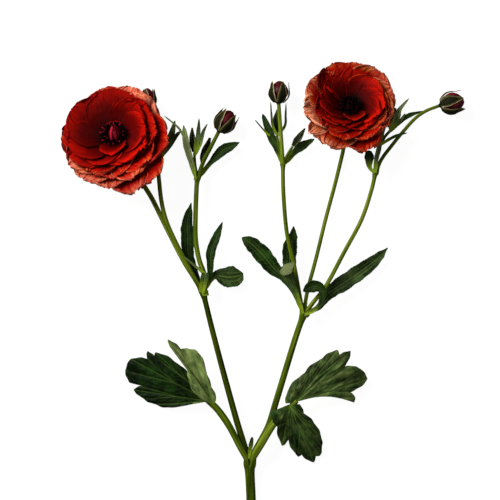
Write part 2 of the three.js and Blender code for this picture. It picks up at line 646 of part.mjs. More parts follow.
// green sepals bent back under the bloom, on a small ring
function bloomSepals(bloom, frame) {
  const top = -HUB_HALF_HEIGHT - SEAT;
  const collar = lathe([[0, -3.4], [2.2, -3.2], [2.6, top], [0, top]], 9);
  const solids = [collar.transform(frame.elements)];
  for (let k = 0; k < 5; k += 1) {
    const ring = { root: 1, foot: -2.6, open: 94, cup: 0.2, ruffle: 0, curl: 0, wrap: 0 };
    const sepal = [40 + 72 * k, 10.5, 3.6, 114];
    const grid = [0, 0.35, 0.7, 1].map((t) => [-1, 0, 1].map((v) => {
      const point = petalPoint(ring, sepal, t, v).applyMatrix4(frame);
      return held(point, SHEET / 2);
    }));
    solids.push(sheet(grid, SHEET, 0));
  }
  return united(solids);
}

// ---------------------------------------------------------------- bud
// radius of a bud at height t along it, as a share of its widest
function budRadius(t) {
  return Math.sin(Math.PI * Math.min(0.1 + 0.87 * t, 1)) ** 0.6;
}

// the same for its sepals, which stand off the petals towards their tips
function sepalRadius(t) {
  return mix(budRadius(t), 1, 0.8 * rise(0.4, 1, t));
}

const BUD_FOOT = 1.6;         // height at which the petals of a bud start, over its cup's foot
const CUP_SHARE = 0.47;       // radius of a bud's cup, as a share of the bud's

function budPetals(bud, frame) {
  const profile = [0.02, 0.2, 0.42, 0.64, 0.84, 0.97].map((t) => [bud.radius * budRadius(t) - SHEET - SEAT,
    BUD_FOOT + (bud.height - BUD_FOOT) * t]);
  return lathe([[0, profile[0][1]], ...profile, [0, bud.height]], 9).transform(frame.elements);
}

function budSepals(bud, frame) {
  const solids = [lathe([[0, 0.2], [1.5, 0.1], [CUP_SHARE * bud.radius, 1.1], [0, BUD_FOOT - SEAT]], 8)];
  for (let k = 0; k < 5; k += 1) {
    const middle = degrees(72 * k);
    const lift = SHEET / 2 + 0.12 * (k % 2);
    const grid = [0, 0.24, 0.5, 0.76, 1].map((t) => {
      const radius = Math.max(bud.radius * sepalRadius(t) - SHEET + lift, 1.2);
      const spread = degrees(mix(38, 24 * bud.gape, t)) * Math.sqrt(Math.max(1 - t ** 3, 0.05));
      const height = mix(0.5, bud.height * 0.98, t);
      return [-1, 0, 1].map((v) => new THREE.Vector3(radius * Math.cos(middle + v * spread),
        radius * Math.sin(middle + v * spread), height));
    });
    solids.push(sheet(grid, SHEET));
  }
  return united(solids).transform(frame.elements);
}

// ---------------------------------------------------------------- assembly
const group = new THREE.Group();

// corners of a body, with each one that a join left on top of another drawn back towards its own neighbours
function openCorners({ numProp, vertProperties, triVerts }) {
  const corners = [];
  for (let i = 0; i < vertProperties.length; i += numProp) {
    corners.push(new THREE.Vector3(vertProperties[i], vertProperties[i + 1], vertProperties[i + 2]));
  }
  const isPinched = (corner, i) => corners.slice(0, i).some((other) => other.distanceTo(corner) < PINCH);
  const pinched = corners.map(isPinched);
  pinched.forEach((near, i) => {
    if (!near) return;
    const middle = new THREE.Vector3();
    let count = 0;
    for (let t = 0; t < triVerts.length; t += 3) {
      const triangle = [triVerts[t], triVerts[t + 1], triVerts[t + 2]];
      if (!triangle.includes(i)) continue;
      triangle.forEach((k) => middle.add(corners[k]));
      count += 3;
    }
    const back = middle.divideScalar(count).sub(corners[i]).setLength(4 * PINCH);
    corners[i].add(back);
  });
  return new Float32Array(corners.flatMap((corner) => corner.toArray()));
}

function place(name, solid, look) {
  const body = solid.getMesh();
  const { triVerts } = body;
  const geometry = new THREE.BufferGeometry();
  geometry.setAttribute('position', new THREE.BufferAttribute(openCorners(body), 3));
  geometry.setIndex(new THREE.BufferAttribute(new Uint32Array(triVerts), 1));
  const mesh = new THREE.Mesh(geometry, new THREE.MeshStandardMaterial({ metalness: 0, ...MATERIALS[look] }));
  mesh.name = name;
  group.add(mesh);
}

function box(low, high) {
  const size = high.map((value, i) => value - low[i]);
  const geometry = new THREE.BoxGeometry(...size);
  geometry.translate(...low.map((value, i) => value + size[i] / 2));
  return solidOfGeometry(geometry);
}

const underTable = box([-200, -200, -30], [200, 200, 0]);
const beyondCut = box([-30, -200, -30], [30, CUT_END_Y, 40]);
const sidesOf = ({ width }) => (width[0] > 3 ? 7 : 5);

function wholeStem(grow) {
  const tubes = Object.values(STEMS).map((stem) => tube(stem, sidesOf(stem), grow));
  const knots = KNOTS.map(([centre, radius]) => ball(centre, radius + grow));
  return united([...tubes, ...knots]);
}

const stemRoom = wholeStem(SEAT);
const fitted = (solid) => mainBody(solid.subtract(stemRoom).subtract(underTable));

place('stem', mainBody(wholeStem(0).subtract(beyondCut).subtract(underTable)), 'stem');

Object.entries(LEAF_SPRAYS).forEach(([name, spray]) => {
  const petioles = (spray.petioles ?? []).map((petiole) => tube(petiole, 7));
  const blades = (spray.blades ?? []).map(blade);
  const fans = (spray.fans ?? []).map(fan);
  place(name, fitted(united([...petioles, ...blades, ...fans])), 'leaf');
});

Object.entries(SMALL_BUDS).forEach(([name, bud]) => {
  place(name, fitted(tube({ ...bud, steps: 6 }, 6)), 'sepal');
});

Object.entries(BLOOMS).forEach(([side, bloom]) => {
  const frame = bloomFrame(bloom);
  place(`petals_${side}`, fitted(bloomPetals(bloom, frame).subtract(eyeRoom(frame))), 'petal');
  place(`eye_${side}`, fitted(bloomEye(frame)), 'eye');
  place(`calyx_${side}`, fitted(bloomSepals(bloom, frame)), 'leaf');
});

Object.entries(BUDS).forEach(([name, bud]) => {
  const frame = budFrame(bud);
  place(`bud_petals_${name}`, fitted(budPetals(bud, frame)), 'budPetal');
  place(`bud_sepals_${name}`, fitted(budSepals(bud, frame)), 'sepal');
});

export default group;
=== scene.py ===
import math

import bpy
import numpy as np
from mathutils import Matrix, Vector


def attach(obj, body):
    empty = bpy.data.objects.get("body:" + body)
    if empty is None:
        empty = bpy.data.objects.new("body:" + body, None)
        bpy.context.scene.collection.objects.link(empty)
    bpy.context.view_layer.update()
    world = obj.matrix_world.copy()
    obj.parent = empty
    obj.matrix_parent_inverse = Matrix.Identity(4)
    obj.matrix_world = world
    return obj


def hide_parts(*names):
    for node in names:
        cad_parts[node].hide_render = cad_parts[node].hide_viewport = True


# Persian buttercup: the looks of a cut, branching flower stem that lies on its side on a table.
# Lengths are in millimetres until a mesh is made, and each piece stands where its solid stands.

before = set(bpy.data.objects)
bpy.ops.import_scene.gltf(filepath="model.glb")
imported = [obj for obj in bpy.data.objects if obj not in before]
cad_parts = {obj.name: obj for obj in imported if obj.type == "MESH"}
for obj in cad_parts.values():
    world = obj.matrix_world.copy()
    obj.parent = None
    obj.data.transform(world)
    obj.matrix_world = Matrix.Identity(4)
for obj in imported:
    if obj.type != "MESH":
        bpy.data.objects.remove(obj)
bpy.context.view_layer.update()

MM = 0.001
SEAT = 0.3                # gap between a piece and what carries it
FOLD = math.radians(14)   # each half of a leaf is raised along its midrib
CUT_END_Y = -147          # plane of the straight cut through the main stem
PETAL_ROOT = 2.4          # distance of a petal's root from the bloom's axis
OVERLAP = 0.07            # rise of a petal's one side over its neighbour
PETAL_THICKNESS = 0.3
LEAF_THICKNESS = 0.4
EYE_LEAF_THICKNESS = 0.3
BUD_PETAL_THICKNESS = 0.25
SEPAL_THICKNESS = 0.35
THIN_PETAL = 2            # a petal of a smaller half-width than this is a stray bright one
THIN_PETAL_GLOW = 1.1     # and so much brighter
EYE_RADIUS = 7.0
STAMENS = 96
GOLDEN_ANGLE = 2.39996    # radians from each stamen to the next
BUD_FOOT = 1.6            # height at which a bud's petals start
SEPAL_ROOM = 0.45         # depth that a bud's sepals take of its radius
CUP_RIM = 0.47            # radius of the cup under a bud, as a share of the bud's

# ---------------------------------------------------------------- stems
# tone from 0, the darkest green, to 1, the palest, partly painted shade on stems that get less light; width
# at both ends; and path
STEMS = {
    "main": (0.28, [5.4, 5.2], [
        (-6.1, -155, 2.55), (-6.3, -134, 2.6), (-6.6, -116, 2.8), (-7, -97.4, 3.4), (-7.9, -77.8, 4.7)]),
    "branch_left": (0.12, [3.8, 2.9], [
        (-7.9, -80.6, 4.6), (-9.5, -71.7, 5.4), (-15.2, -52.6, 6.4), (-22.1, -27.4, 7.6),
        (-28.7, -2.2, 8.4), (-34, 19.6, 8.4)]),
    "branch_right": (0.34, [3.9, 3.3], [
        (-7.9, -80.6, 4.6), (-5, -71.1, 5.4), (2.5, -56.6, 6.2), (7.3, -41.4, 7), (17.5, -7.8, 8.4),
        (22.5, 6.7, 8.6)]),
    "stalk_bloom_left": (0.62, [2.7, 2.6], [
        (-34, 19, 8.4), (-39.5, 28, 8), (-45.1, 37, 7.2), (-53.5, 53.2, 5.2), (-62.2, 70.6, 3.2),
        (-66.9, 78.4, 2.2), (-75, 92, 1.6), (-78.6, 98, 1.8), (-80.6, 101.5, 2.9), (-81.6, 103.6, 4.8)]),
    "stalk_bud_back": (0.5, [2.5, 2.3], [
        (-34, 19, 8.4), (-38.9, 27.4, 9.6), (-43.4, 35.8, 10.4), (-49.8, 48.2, 10.6), (-54.6, 59.4, 9.8),
        (-57.3, 70.6, 8.4), (-58.9, 84.6, 6.6), (-60.8, 98.6, 5.8), (-63.3, 112, 5.8),
        (-64.6, 120.6, 5.9)]),
    "shoot_left": (0.48, [2.9, 2.5], [
        (-34, 19, 8.6), (-32.6, 24.1, 9.2), (-33.6, 30.2, 9.4), (-36, 37, 9.2), (-37.8, 46.5, 8.8),
        (-38.2, 56.6, 8.4), (-37.6, 76.2, 7.8), (-36.9, 84, 7.6)]),
    "stalk_bud_left": (0.4, [2.4, 2.1], [
        (-37, 82.3, 7.6), (-33.9, 91.6, 7.6), (-29.8, 99.7, 7.6), (-25.4, 108.3, 7.3)]),
    "stalk_small_left": (0.4, [1.7, 1.5], [(-37.1, 82.3, 7.4), (-38.4, 90.7, 6.8), (-38.8, 97.1, 6.6)]),
    "stalk_bloom_right": (0.5, [2.1, 2.2], [
        (22.5, 6.2, 8.6), (23.8, 15.7, 8.2), (25.4, 23, 7.8), (29.6, 38.6, 6.8), (34.7, 59.4, 5.2),
        (40.3, 80.1, 2.9), (44.8, 98.6, 1.5), (46.2, 107, 1.5), (47.4, 114, 1.8), (48.6, 118.4, 2.8),
        (49.3, 120.6, 4.6)]),
    "branch_far_right": (0.62, [2.4, 2.2], [
        (22.5, 6.2, 8.6), (27.7, 13.2, 8.8), (35.2, 23, 9.2), (45.1, 41.4, 9.8), (54.7, 59.4, 9.8),
        (60.4, 76.2, 9.4), (62.7, 86.8, 9)]),
    "stalk_bud_right": (0.45, [2.1, 1.8], [
        (62.6, 85.1, 9), (65.8, 93, 9), (72, 101.4, 9), (78.4, 109.2, 8.6), (84.8, 116.2, 7.8),
        (91, 120.5, 7), (98.3, 123.4, 6.6)]),
    "shoot_right": (0.4, [2, 1.6], [
        (62.6, 85.1, 8.8), (62.7, 91.8, 7.2), (64.7, 99.1, 6.4), (67.5, 105.3, 6.2), (71.4, 110, 6.2)]),
    "shoot_top": (0.45, [2.4, 2.2], [
        (22.5, 6.7, 8.6), (21, 12.6, 9), (17.4, 32.5, 9), (14.8, 43.7, 8.8), (12.6, 55.4, 8.6),
        (11.1, 75, 8.4), (10.8, 91.8, 8.2)]),
    "stalk_bud_top": (0.6, [2.3, 2.1], [
        (10.8, 90.2, 8.2), (10.1, 101.4, 8.2), (9.3, 112.6, 8), (8.5, 124.2, 6.9)]),
    "stalk_small_top": (0.4, [1.5, 1.4], [(10.8, 90.7, 7.8), (8.7, 100.2, 5.4), (7.3, 108.4, 3.6)]),
    "stalk_small_top_right": (0.4, [1.5, 1.4], [(10.9, 91.3, 8), (13.7, 96.6, 7.6), (16.3, 100.6, 7.2)]),
}

# joints of the stem: centre and radius of each swelling
KNOTS = [
    ((-7.9, -77.8, 4.7), 3.1),
    ((-34, 19, 8.4), 2.3),
    ((22.5, 6.7, 8.6), 2.4),
    ((-36.9, 83.2, 7.6), 1.8),
    ((10.8, 91, 8.2), 1.7),
    ((62.7, 85.7, 9), 1.7),
]

# ---------------------------------------------------------------- blooms
# rings of petals, from the outermost in: foot, angle from the axis at the root, cup, ruffle, curl of the rim
# and share by which its petals wrap round the axis
RINGS = [
    (-0.9, 86, 0.03, 1.1, 8, 0.8),
    (-0.45, 79, 0.05, 0.8, 4, 0.9),
    (0, 72, 0.06, 0.5, 0, 1),
    (0.5, 60, 0.15, 0.3, 0, 0.5),
]

# lean and towards: angle of the axis from upright, and compass direction that it leans to
# eye: redness of the eye. bud: shift, lean, direction and size of the bud in the eye
# bend: shift of the stamens' tips. sun: turn of the side of the bloom whose petals are painted lighter, as
# painted light and shade
# over: middle, height and reach of what the petals lie over
# petals, ring by ring: azimuth, length, half-width, angle from the axis at the tip, paleness of the margin,
# which is partly painted highlight
BLOOMS = {
    "left": {
        "base": (-82.6, 105.2, 8), "lean": 28, "towards": 122, "seed": 11, "eye": 1, "sun": 50,
        "bud": ((0.4, -3, 2), 46, 100, 1), "bend": (0, 0, 0), "over": ((-65.6, 128), 15.2, 10),
        "petals": [
            [
                (-67, 35, 13, 86, 0.6), (-46, 35, 13, 84, 0.3), (-13, 31.5, 18, 66, 0.22),
                (44, 28, 15, 64, 1.15), (72, 28.5, 15, 68, 0.8), (106, 29, 17, 70, 0.3),
                (142, 28.5, 18, 70, 0.25), (178, 29, 18, 70, 0.15), (214, 28, 15, 74, 0.9),
                (236, 28.5, 16, 78, 0.9), (268, 29, 16, 82, 0.7)],
            [
                (299, 29.5, 12, 76, 0.5), (318, 28, 14, 68, 0.2), (0, 26, 16, 54, 0.1), (37, 25, 15, 50, 0),
                (80, 25, 16, 60, 0.05), (124, 27, 18, 64, 0.1), (168, 27.5, 18, 64, 0.05),
                (210, 26.5, 15, 66, 0.05), (244, 24.5, 13, 72, 0.25), (274, 25, 13, 76, 0.32)],
            [
                (326, 24, 14, 52, 0), (0, 21.5, 14, 44, 0), (43, 22.5, 14.5, 42, 0), (98, 26, 17, 58, 0),
                (150, 28, 18, 60, 0), (196, 25.5, 16, 58, 0), (234, 21, 13, 64, 0), (262, 17.5, 9, 66, 0),
                (292, 19.5, 11, 66, 0)],
            [(274, 13, 8.5, 60, 0), (100, 8, 6, 24, 0)],
        ],
    },
    "right": {
        "base": (49.7, 122.6, 7.6), "lean": 28, "towards": 84, "seed": 5, "eye": 0.03, "sun": 22,
        "bud": ((-0.4, -1, 0.6), 20, 120, 0.66), "bend": (-1.8, -1.6, 0), "over": None,
        "petals": [
            [
                (-76, 27.5, 12, 82, 0.3), (-119, 27.5, 13, 84, 0.7), (-144, 27.5, 6.5, 88, 1.1),
                (-172, 25.5, 16, 74, 1.25), (150, 26, 15, 74, 0.6), (118, 26, 15, 70, 0.2),
                (86, 25, 15, 70, 0.25), (54, 25, 15, 68, 0.5), (20, 22.5, 15, 64, 0.6),
                (-12, 21.5, 13, 64, 0.5), (-40, 22, 12, 68, 0.35)],
            [
                (0, 19, 14, 60, 0.15), (200, 21, 13, 60, 0.05), (228, 21.5, 11, 64, 0.1),
                (252, 23.5, 11, 70, 0.15), (288, 23, 12, 70, 0.2), (321, 19.5, 13, 62, 0.25)],
            [
                (-6, 17.5, 13, 50, 0), (45, 18.5, 14, 50, 0.05), (90, 19.5, 15, 54, 0),
                (135, 19, 14, 54, 0), (182, 18.5, 14, 52, 0), (223, 18, 10, 54, 0), (257, 16.5, 9, 58, 0),
                (291, 17.5, 11, 64, 0), (326, 16, 11, 50, 0)],
            [(274, 13, 6.5, 50, 0.05), (154, 17, 0.9, 54, 0)],
        ],
    },
}

# small leaves of the eye's bud: azimuth, length, half-width, angle from the axis at the tip, and redness
EYE_LEAVES = [
    (238, 14.2, 1.6, -44, 1), (290, 13.6, 1.7, -44, 0.6), (334, 13, 1.4, -42, 0.35),
    (20, 14.4, 1.5, -44, 0.7), (78, 15, 1.7, -44, 0.9), (134, 14.4, 1.5, -44, 0.5),
    (182, 13, 1.2, -42, 0.3)]

# ---------------------------------------------------------------- buds
# aim: heading and rise. gape: width of the sepals near their tips. turn: of petals and sepals round the axis
BUDS = {
    "left": {
        "base": (-25.1, 108.9, 7.2), "aim": (57, 2), "radius": 6.3, "height": 13.6, "gape": 0.7, "turn": 54,
    },
    "back": {
        "base": (-64.7, 121.2, 5.9), "aim": (93, 0), "radius": 5.2, "height": 12.2, "gape": 0.66, "turn": 50,
    },
    "top": {
        "base": (8.4, 124.8, 6.8), "aim": (87, 0), "radius": 6.1, "height": 12.6, "gape": 0.78, "turn": 0,
    },
    "right": {
        "base": (98.9, 123.6, 6.8), "aim": (12, 0), "radius": 6.6, "height": 13.8, "gape": 0.74, "turn": 35,
    },
}

# path, and width from end to end
SMALL_BUDS = {
    "small_bud_left": ([(-38.9, 97.6, 6.6), (-39.9, 104, 6.4), (-40, 111.2, 6.4)], [2.2, 3.6, 3.4, 0.9]),
    "small_bud_left_low": ([(-34.4, 90.6, 5.6), (-33.2, 96.4, 4.4), (-30, 105.6, 4)], [1.4, 4.2, 4.6, 1.4]),
    "small_bud_top": ([(7.3, 108.6, 3.5), (7.5, 115, 3.2), (7.8, 121.6, 3.2)], [2.6, 5.2, 4.6, 1.2]),
    "small_bud_top_right": (
        [(16.4, 100.8, 7.2), (19.8, 105.6, 7.4), (23.2, 110.8, 7.6)], [1.8, 4.2, 3.2, 0.9]),
    "small_bud_right": ([(71.2, 110.2, 5.6), (71.6, 116, 4.4), (74, 122.4, 4.2)], [1.6, 4.4, 4.6, 1.2]),
}

# ---------------------------------------------------------------- leaves
# petiole of a lower leaf: tone, width from end to end, and path
# edge: its points in turn. bow: shift of the middle of its last third
# veins: point of the edge where each ends, and the points that it branches to
LOWER_LEAVES = {
    "leaf_lower_left": {
        "petiole": (0.42, [3.5, 3.5, 3.8, 3.6], [
            (-8.8, -75.4, 5.4), (-13.4, -67.2, 7.8), (-17.1, -59.9, 8), (-21, -53.2, 7.8),
            (-26, -46.5, 7.4), (-31.6, -41.2, 6.8)]),
        "leaflets": [
            {
                "tone": -0.45, "root": (-30.4, -42, 6.9), "arch": 1.6,
                "edge": [
                    (-36.5, -34.5, 8.2), (-41.4, -28, 8.7), (-50.1, -19.6, 9), (-60.5, -14.6, 7.5),
                    (-61.3, -17, 7.3), (-65.1, -14, 6.8), (-65.4, -18.4, 6.4), (-74.5, -18.4, 5.2),
                    (-77.7, -25.2, 3.6), (-75.3, -31.9, 2.8), (-67.7, -31.6, 4.6), (-68.6, -33.6, 4.2),
                    (-73.1, -35.8, 2.8), (-67.5, -40.9, 3), (-60.2, -44.2, 3.6), (-51, -45.9, 4.2),
                    (-44.5, -43.5, 5), (-38.5, -43, 6)],
                "veins": {3: [2, 5], 7: [8, 6], 12: [9, 13], 14: [15]},
            },
            {
                "tone": 0.75, "root": (-27.6, -44.6, 7.6), "arch": 1.2,
                "edge": [
                    (-26.6, -40.4, 9), (-29.8, -33, 10), (-32, -26.2, 11.4), (-33.2, -20.6, 12.6),
                    (-37.4, -13.4, 13.6), (-41, -12.8, 12.4), (-46.4, -12.6, 11.6), (-53.5, -7.3, 12),
                    (-52.8, -10.6, 12.6), (-46.5, -18.8, 13.4), (-42.3, -23.5, 13.4), (-41.2, -32.5, 12),
                    (-35.4, -40.6, 9)],
                "veins": {4: [3, 5], 7: [6, 10]},
            },
        ],
    },
    "leaf_lower_right": {
        "petiole": (0.66, [4.2, 4.2, 2.8], [
            (-6.9, -75, 5.6), (-1.5, -66.1, 9.6), (4.4, -56.3, 10.4), (9.5, -50.4, 10.6),
            (18.6, -41.7, 10.6)]),
        "leaflets": [
            {
                "tone": 0.5, "root": (17.6, -42.6, 10.6), "arch": 1.6,
                "edge": [
                    (12.3, -43.2, 9.4), (13.7, -35.8, 10.4), (23, -26, 11.4), (32.8, -17.9, 10.4),
                    (41.2, -13.2, 8.8), (42.6, -16, 8.6), (48.8, -13.8, 7.4), (45.5, -22.8, 8),
                    (50.1, -22.4, 7.4), (55, -24.5, 6.4), (58.4, -29.7, 5), (48.8, -37.3, 6),
                    (51.4, -39.8, 5), (50.9, -43.1, 4.4)],
                "bow": (0.6, 3.4, 0),
                "veins": {4: [3, 6], 6: [7], 10: [9, 11], 12: []},
            },
            {
                "tone": 0.42, "root": (14.2, -43.6, 12.8), "arch": 2.2,
                "edge": [
                    (3.6, -47.6, 13.2), (5, -52.8, 13.2), (7.6, -56, 13), (10.4, -67.2, 8),
                    (13.9, -63.6, 9), (19.3, -73.4, 5.4), (21.4, -72.4, 4.8), (28.1, -76.9, 2.2),
                    (29.4, -73.2, 3.2), (31.8, -73, 3.2), (32.8, -67.8, 4.4), (32, -61, 6.6),
                    (28.3, -54.3, 9.4), (22.4, -48.7, 12), (20.2, -43.4, 13)],
                "veins": {3: [2], 7: [5, 9], 10: [11]},
            },
        ],
    },
}

# tone of each narrow leaf, half-width from end to end, and path of the midrib
# a tone goes from 0, green, to 1, pale, and below 0 it is darker
LEAF_SPRAYS = {
    "bract_fork": [
        (0.2, [0.7, 0.9, 1.3, 0.8], [
            (-8.2, -74.4, 7.9), (-7.8, -70.6, 8.6), (-7, -66, 8.8), (-6.3, -62, 8.4)]),
    ],
    "leaves_left_node": [
        (-0.2, [1.1, 1.6, 3.2, 3.8, 3.2, 0.7], [
            (-34.4, 18.4, 6.2), (-38, 29, 4.4), (-42, 39, 4), (-42.7, 49, 4.4), (-42.8, 58.2, 4.8),
            (-40.6, 69.2, 4.4)]),
        (0.1, [1.1, 1.3, 2.7, 2.4, 0.6], [
            (-33.4, 19.6, 6.4), (-30.2, 28, 6), (-29.6, 41, 6.6), (-26.6, 49.6, 6), (-23, 58.4, 4.6)]),
        (0.35, [1.1, 1.2, 2.6, 6.4, 5.6, 1.4], [
            (-33.2, 19.4, 6.2), (-29.6, 25.8, 5), (-26.6, 28.2, 4.4), (-20, 27.4, 4.2), (-15, 28, 3.8),
            (-11.4, 29.6, 3)]),
        (0.4, [1.5, 2.1, 2.2], [(-34.6, 18.4, 11), (-33.6, 24, 12.2), (-32.4, 30.4, 12.4)]),
        (0.6, [1, 0.7, 0.5], [(-32.2, 28.6, 12.3), (-38, 33.5, 12.9), (-44.4, 38.8, 13)]),
        (0.5, [1.3, 1.5, 1.3], [(-34.4, 18, 11.4), (-31, 18.6, 9), (-33, 18.4, 6)]),
    ],
    "leaves_right_node": [
        (0.1, [1.2, 1.3, 1.9, 4.3, 5, 4, 1.6], [
            (22.6, 6, 6), (17.6, 17.9, 5.4), (11.5, 26.6, 5), (5.3, 32.7, 5), (-0.8, 40.2, 5),
            (-7, 46.2, 4.6), (-12.2, 49.6, 3.8)]),
        (0.1, [1, 1.3, 3.6, 4.3, 2.6, 0.6], [
            (22.4, 7, 6.2), (18.8, 19, 6), (14.8, 33, 5.2), (14.8, 43.7, 5), (16.4, 50, 5),
            (16.9, 56, 4.6)]),
        (0.42, [1.4, 1.5, 3, 5.2, 5.4, 3], [
            (22.2, 6.6, 11.2), (18, 18, 12.2), (14, 28, 13.4), (12.2, 34.4, 14.8), (11.8, 32, 17.2),
            (11.4, 28.4, 18)]),
        (0.3, [1.2, 1.1, 1.2, 2.2, 4, 1.8], [
            (23, 6.4, 11.2), (29, 9.6, 12), (32.6, 14, 12.6), (32.6, 20.4, 13.2), (28, 22.6, 13.8),
            (22, 19.6, 13.4)]),
        (0.4, [1.3, 1.5, 1.3], [(22.8, 7, 6), (25.6, 6, 8.6), (22.6, 6.4, 11.6)]),
    ],
    "leaf_right_long": [
        (0.38, [1.2, 1.5, 3.7, 4.7, 3.9, 0.7], [
            (25, 7.8, 5.6), (31.1, 10.8, 6), (36.4, 18.3, 6), (46.8, 25.4, 5.4), (60.6, 35.2, 4.4),
            (69.9, 43.9, 3)]),
    ],
    "bracts_bud_back": [
        (0.5, [1.1, 2, 2, 0.6], [(-59.6, 92, 8), (-54.6, 100, 9.2), (-51.6, 107, 9.4), (-49.6, 115, 9)]),
        (0.4, [1, 1.4, 1.2, 0.6], [
            (-59.6, 92.4, 8), (-53, 100.6, 7.6), (-49, 106.5, 7.6), (-46.6, 109, 7.8)]),
    ],
    "leaves_upper_left": [
        (0, [1.2, 1.3, 3.1, 2.6, 0.6], [
            (-36.4, 83, 5), (-30.5, 90.7, 5), (-23.2, 98.3, 4.6), (-18.8, 100.6, 4.6), (-13.5, 103, 5)]),
        (0.95, [1, 1.5, 1.9, 1.7, 0.4], [
            (-38, 82.6, 9.6), (-40.2, 91, 10.4), (-42.7, 99.5, 11.4), (-43.9, 106.5, 12),
            (-44.7, 112.4, 12.4)]),
        (0.8, [0.7, 0.6, 0.3], [(-43.4, 103, 11.6), (-47.3, 110.5, 12.6), (-55.4, 117.4, 13)]),
        (0.6, [1, 0.9, 1], [(-37.4, 82.6, 10), (-38.9, 82.8, 7.4), (-36.2, 82.8, 4.8)]),
    ],
    "prongs_upper_left": [
        (0.5, [0.9, 1.5, 1.1, 0.3], [
            (-38.8, 95, 8.2), (-37.2, 103, 9.4), (-36.4, 110, 9.6), (-36.1, 116.3, 9.2)]),
        (0.5, [0.9, 1.4, 1, 0.3], [
            (-38.6, 95, 8.2), (-35.6, 102.6, 9.6), (-33.8, 108.6, 9.8), (-31.4, 113.3, 9.4)]),
    ],
    "leaves_upper_middle": [
        (0.3, [1.1, 1.4, 2.4, 1.8, 0.6], [
            (10.4, 90.6, 6), (8.4, 97, 4.6), (4.5, 105.8, 4), (1.3, 114, 4.2), (-0.6, 119, 4.2)]),
        (0.4, [0.6, 0.5, 0.3], [(3.6, 106.6, 4.2), (0.6, 109.4, 4.8), (-4.8, 115.6, 5)]),
        (0.35, [1.1, 1.8, 2.6, 0.7], [
            (11.4, 90.4, 6), (17, 97.2, 4.6), (22, 101.2, 4.2), (28.6, 104.9, 4.6)]),
    ],
    "bracts_small_top": [
        (0.5, [0.8, 0.75, 0.6, 0.25], [
            (7.7, 106.6, 5.4), (5.2, 112, 6.8), (4.4, 118.6, 7), (4, 125.4, 6.6)]),
        (0.4, [0.8, 0.75, 0.6, 0.25], [
            (7.9, 106.6, 5.4), (12, 112.4, 5.6), (12.4, 118.6, 5.4), (12.6, 125, 5)]),
    ],
    "leaves_upper_right": [
        (0.75, [1.1, 1.3, 1.4, 1.3, 0.4], [
            (62.4, 85.6, 11), (63, 93, 9.6), (64.6, 99.6, 8.8), (66, 106.6, 8.8), (68.4, 112, 8.6)]),
        (0, [0.8, 0.9, 0.8, 0.25], [
            (65, 101.2, 8.8), (70, 104.4, 10.6), (75, 106.8, 11.2), (80.4, 108.1, 10.8)]),
        (-0.2, [0.8, 1.2, 2.9, 1.5], [(62, 85.4, 11), (59.4, 89, 9.4), (59.2, 94.6, 8.4), (58.6, 98.4, 8)]),
    ],
    "leaves_shoot_right": [
        (0.65, [0.7, 1.9, 2.1, 1, 0.3], [
            (70.2, 108.4, 7.8), (73.8, 115.2, 8.2), (76, 121, 8.4), (81.5, 127.6, 8.2)]),
        (0.25, [0.6, 1, 1.4, 0.4], [
            (70.4, 108.2, 7.8), (77, 114.6, 5.8), (81.5, 118, 4.9), (89.3, 120.6, 4.4)]),
        (0.5, [0.9, 0.9, 0.6], [(70.4, 108.6, 7.8), (75.4, 113.4, 7.8), (79.4, 119, 8)]),
    ],
}


# ---------------------------------------------------------------- small tools
def seeded(seed):
    """Repeatable random numbers between -1 and 1."""
    state = seed

    def draw():
        nonlocal state
        state = (state * 16807) % 2147483647
        return 2 * state / 2147483647 - 1

    return draw


def mix(a, b, t):
    return a + (b - a) * t


def step(low, high, value):
    """Smooth rise from 0 to 1 as value goes from low to high."""
    t = np.clip((value - low) / (high - low), 0, 1)
    return t * t * (3 - 2 * t)


def along(values, t):
    """Value at t of a list of values spread evenly from 0 to 1, rounded at its corners."""
    places = np.linspace(0, 1, len(values))
    return sum(np.interp(np.clip(t + shift, 0, 1), places, values) for shift in (-0.05, 0, 0.05)) / 3


def waves(place, pitch, draw):
    """Irregular waves between about -1 and 1 along a line, a pitch apart."""
    count = 4
    total = 0
    for k in range(count):
        length = pitch * (1 + 0.45 * (k - (count - 1) / 2) + 0.1 * draw())
        total = total + np.sin(2 * math.pi * place / max(length, 0.2 * pitch) + math.pi * draw())
    return total / math.sqrt(count)


def unit(vectors):
    return vectors / np.maximum(np.linalg.norm(vectors, axis=-1, keepdims=True), 1e-9)


def path_length(path):
    return float(np.sum(np.linalg.norm(np.diff(np.array(path), axis=0), axis=1)))


def curve(path, t):
    """Points at shares t of a smooth curve through the points of a path."""
    path = np.array(path, float)
    ends = np.vstack([2 * path[0] - path[1], path, 2 * path[-1] - path[-2]])
    place = np.clip(t, 0, 1) * (len(path) - 1)
    low = np.minimum(place.astype(int), len(path) - 2)
    w = (place - low)[:, None]
    a, b, c, d = (ends[low + k] for k in range(4))
    slope_b, slope_c = (c - a) / 2, (d - b) / 2
    square = 3 * (c - b) - 2 * slope_b - slope_c
    cube = 2 * (b - c) + slope_b + slope_c
    return b + slope_b * w + square * w**2 + cube * w**3


def stations(path, steps):
    """Points along a path, with the side direction carried along it and the upward one."""
    t = np.linspace(0, 1, steps + 1)
    at = curve(path, t)
    ahead = unit(curve(path, t + 1e-4) - curve(path, t - 1e-4))
    sides = []
    side = np.cross(ahead[0], (0, 0, 1))
    for direction in ahead:
        side = unit(side - direction * side.dot(direction))
        sides.append(side)
    sides = np.array(sides)
    return t, at, sides, np.cross(sides, ahead)


def across(at, side, up, sideways, upwards):
    """Grid of points that lie sideways and upwards of the points of a path."""
    return at[:, None] + side[:, None] * sideways[..., None] + up[:, None] * upwards[..., None]


def around(radius, angle, height):
    """Grid of points round an axis."""
    return np.stack(np.broadcast_arrays(radius * np.cos(angle), radius * np.sin(angle), height), axis=-1)


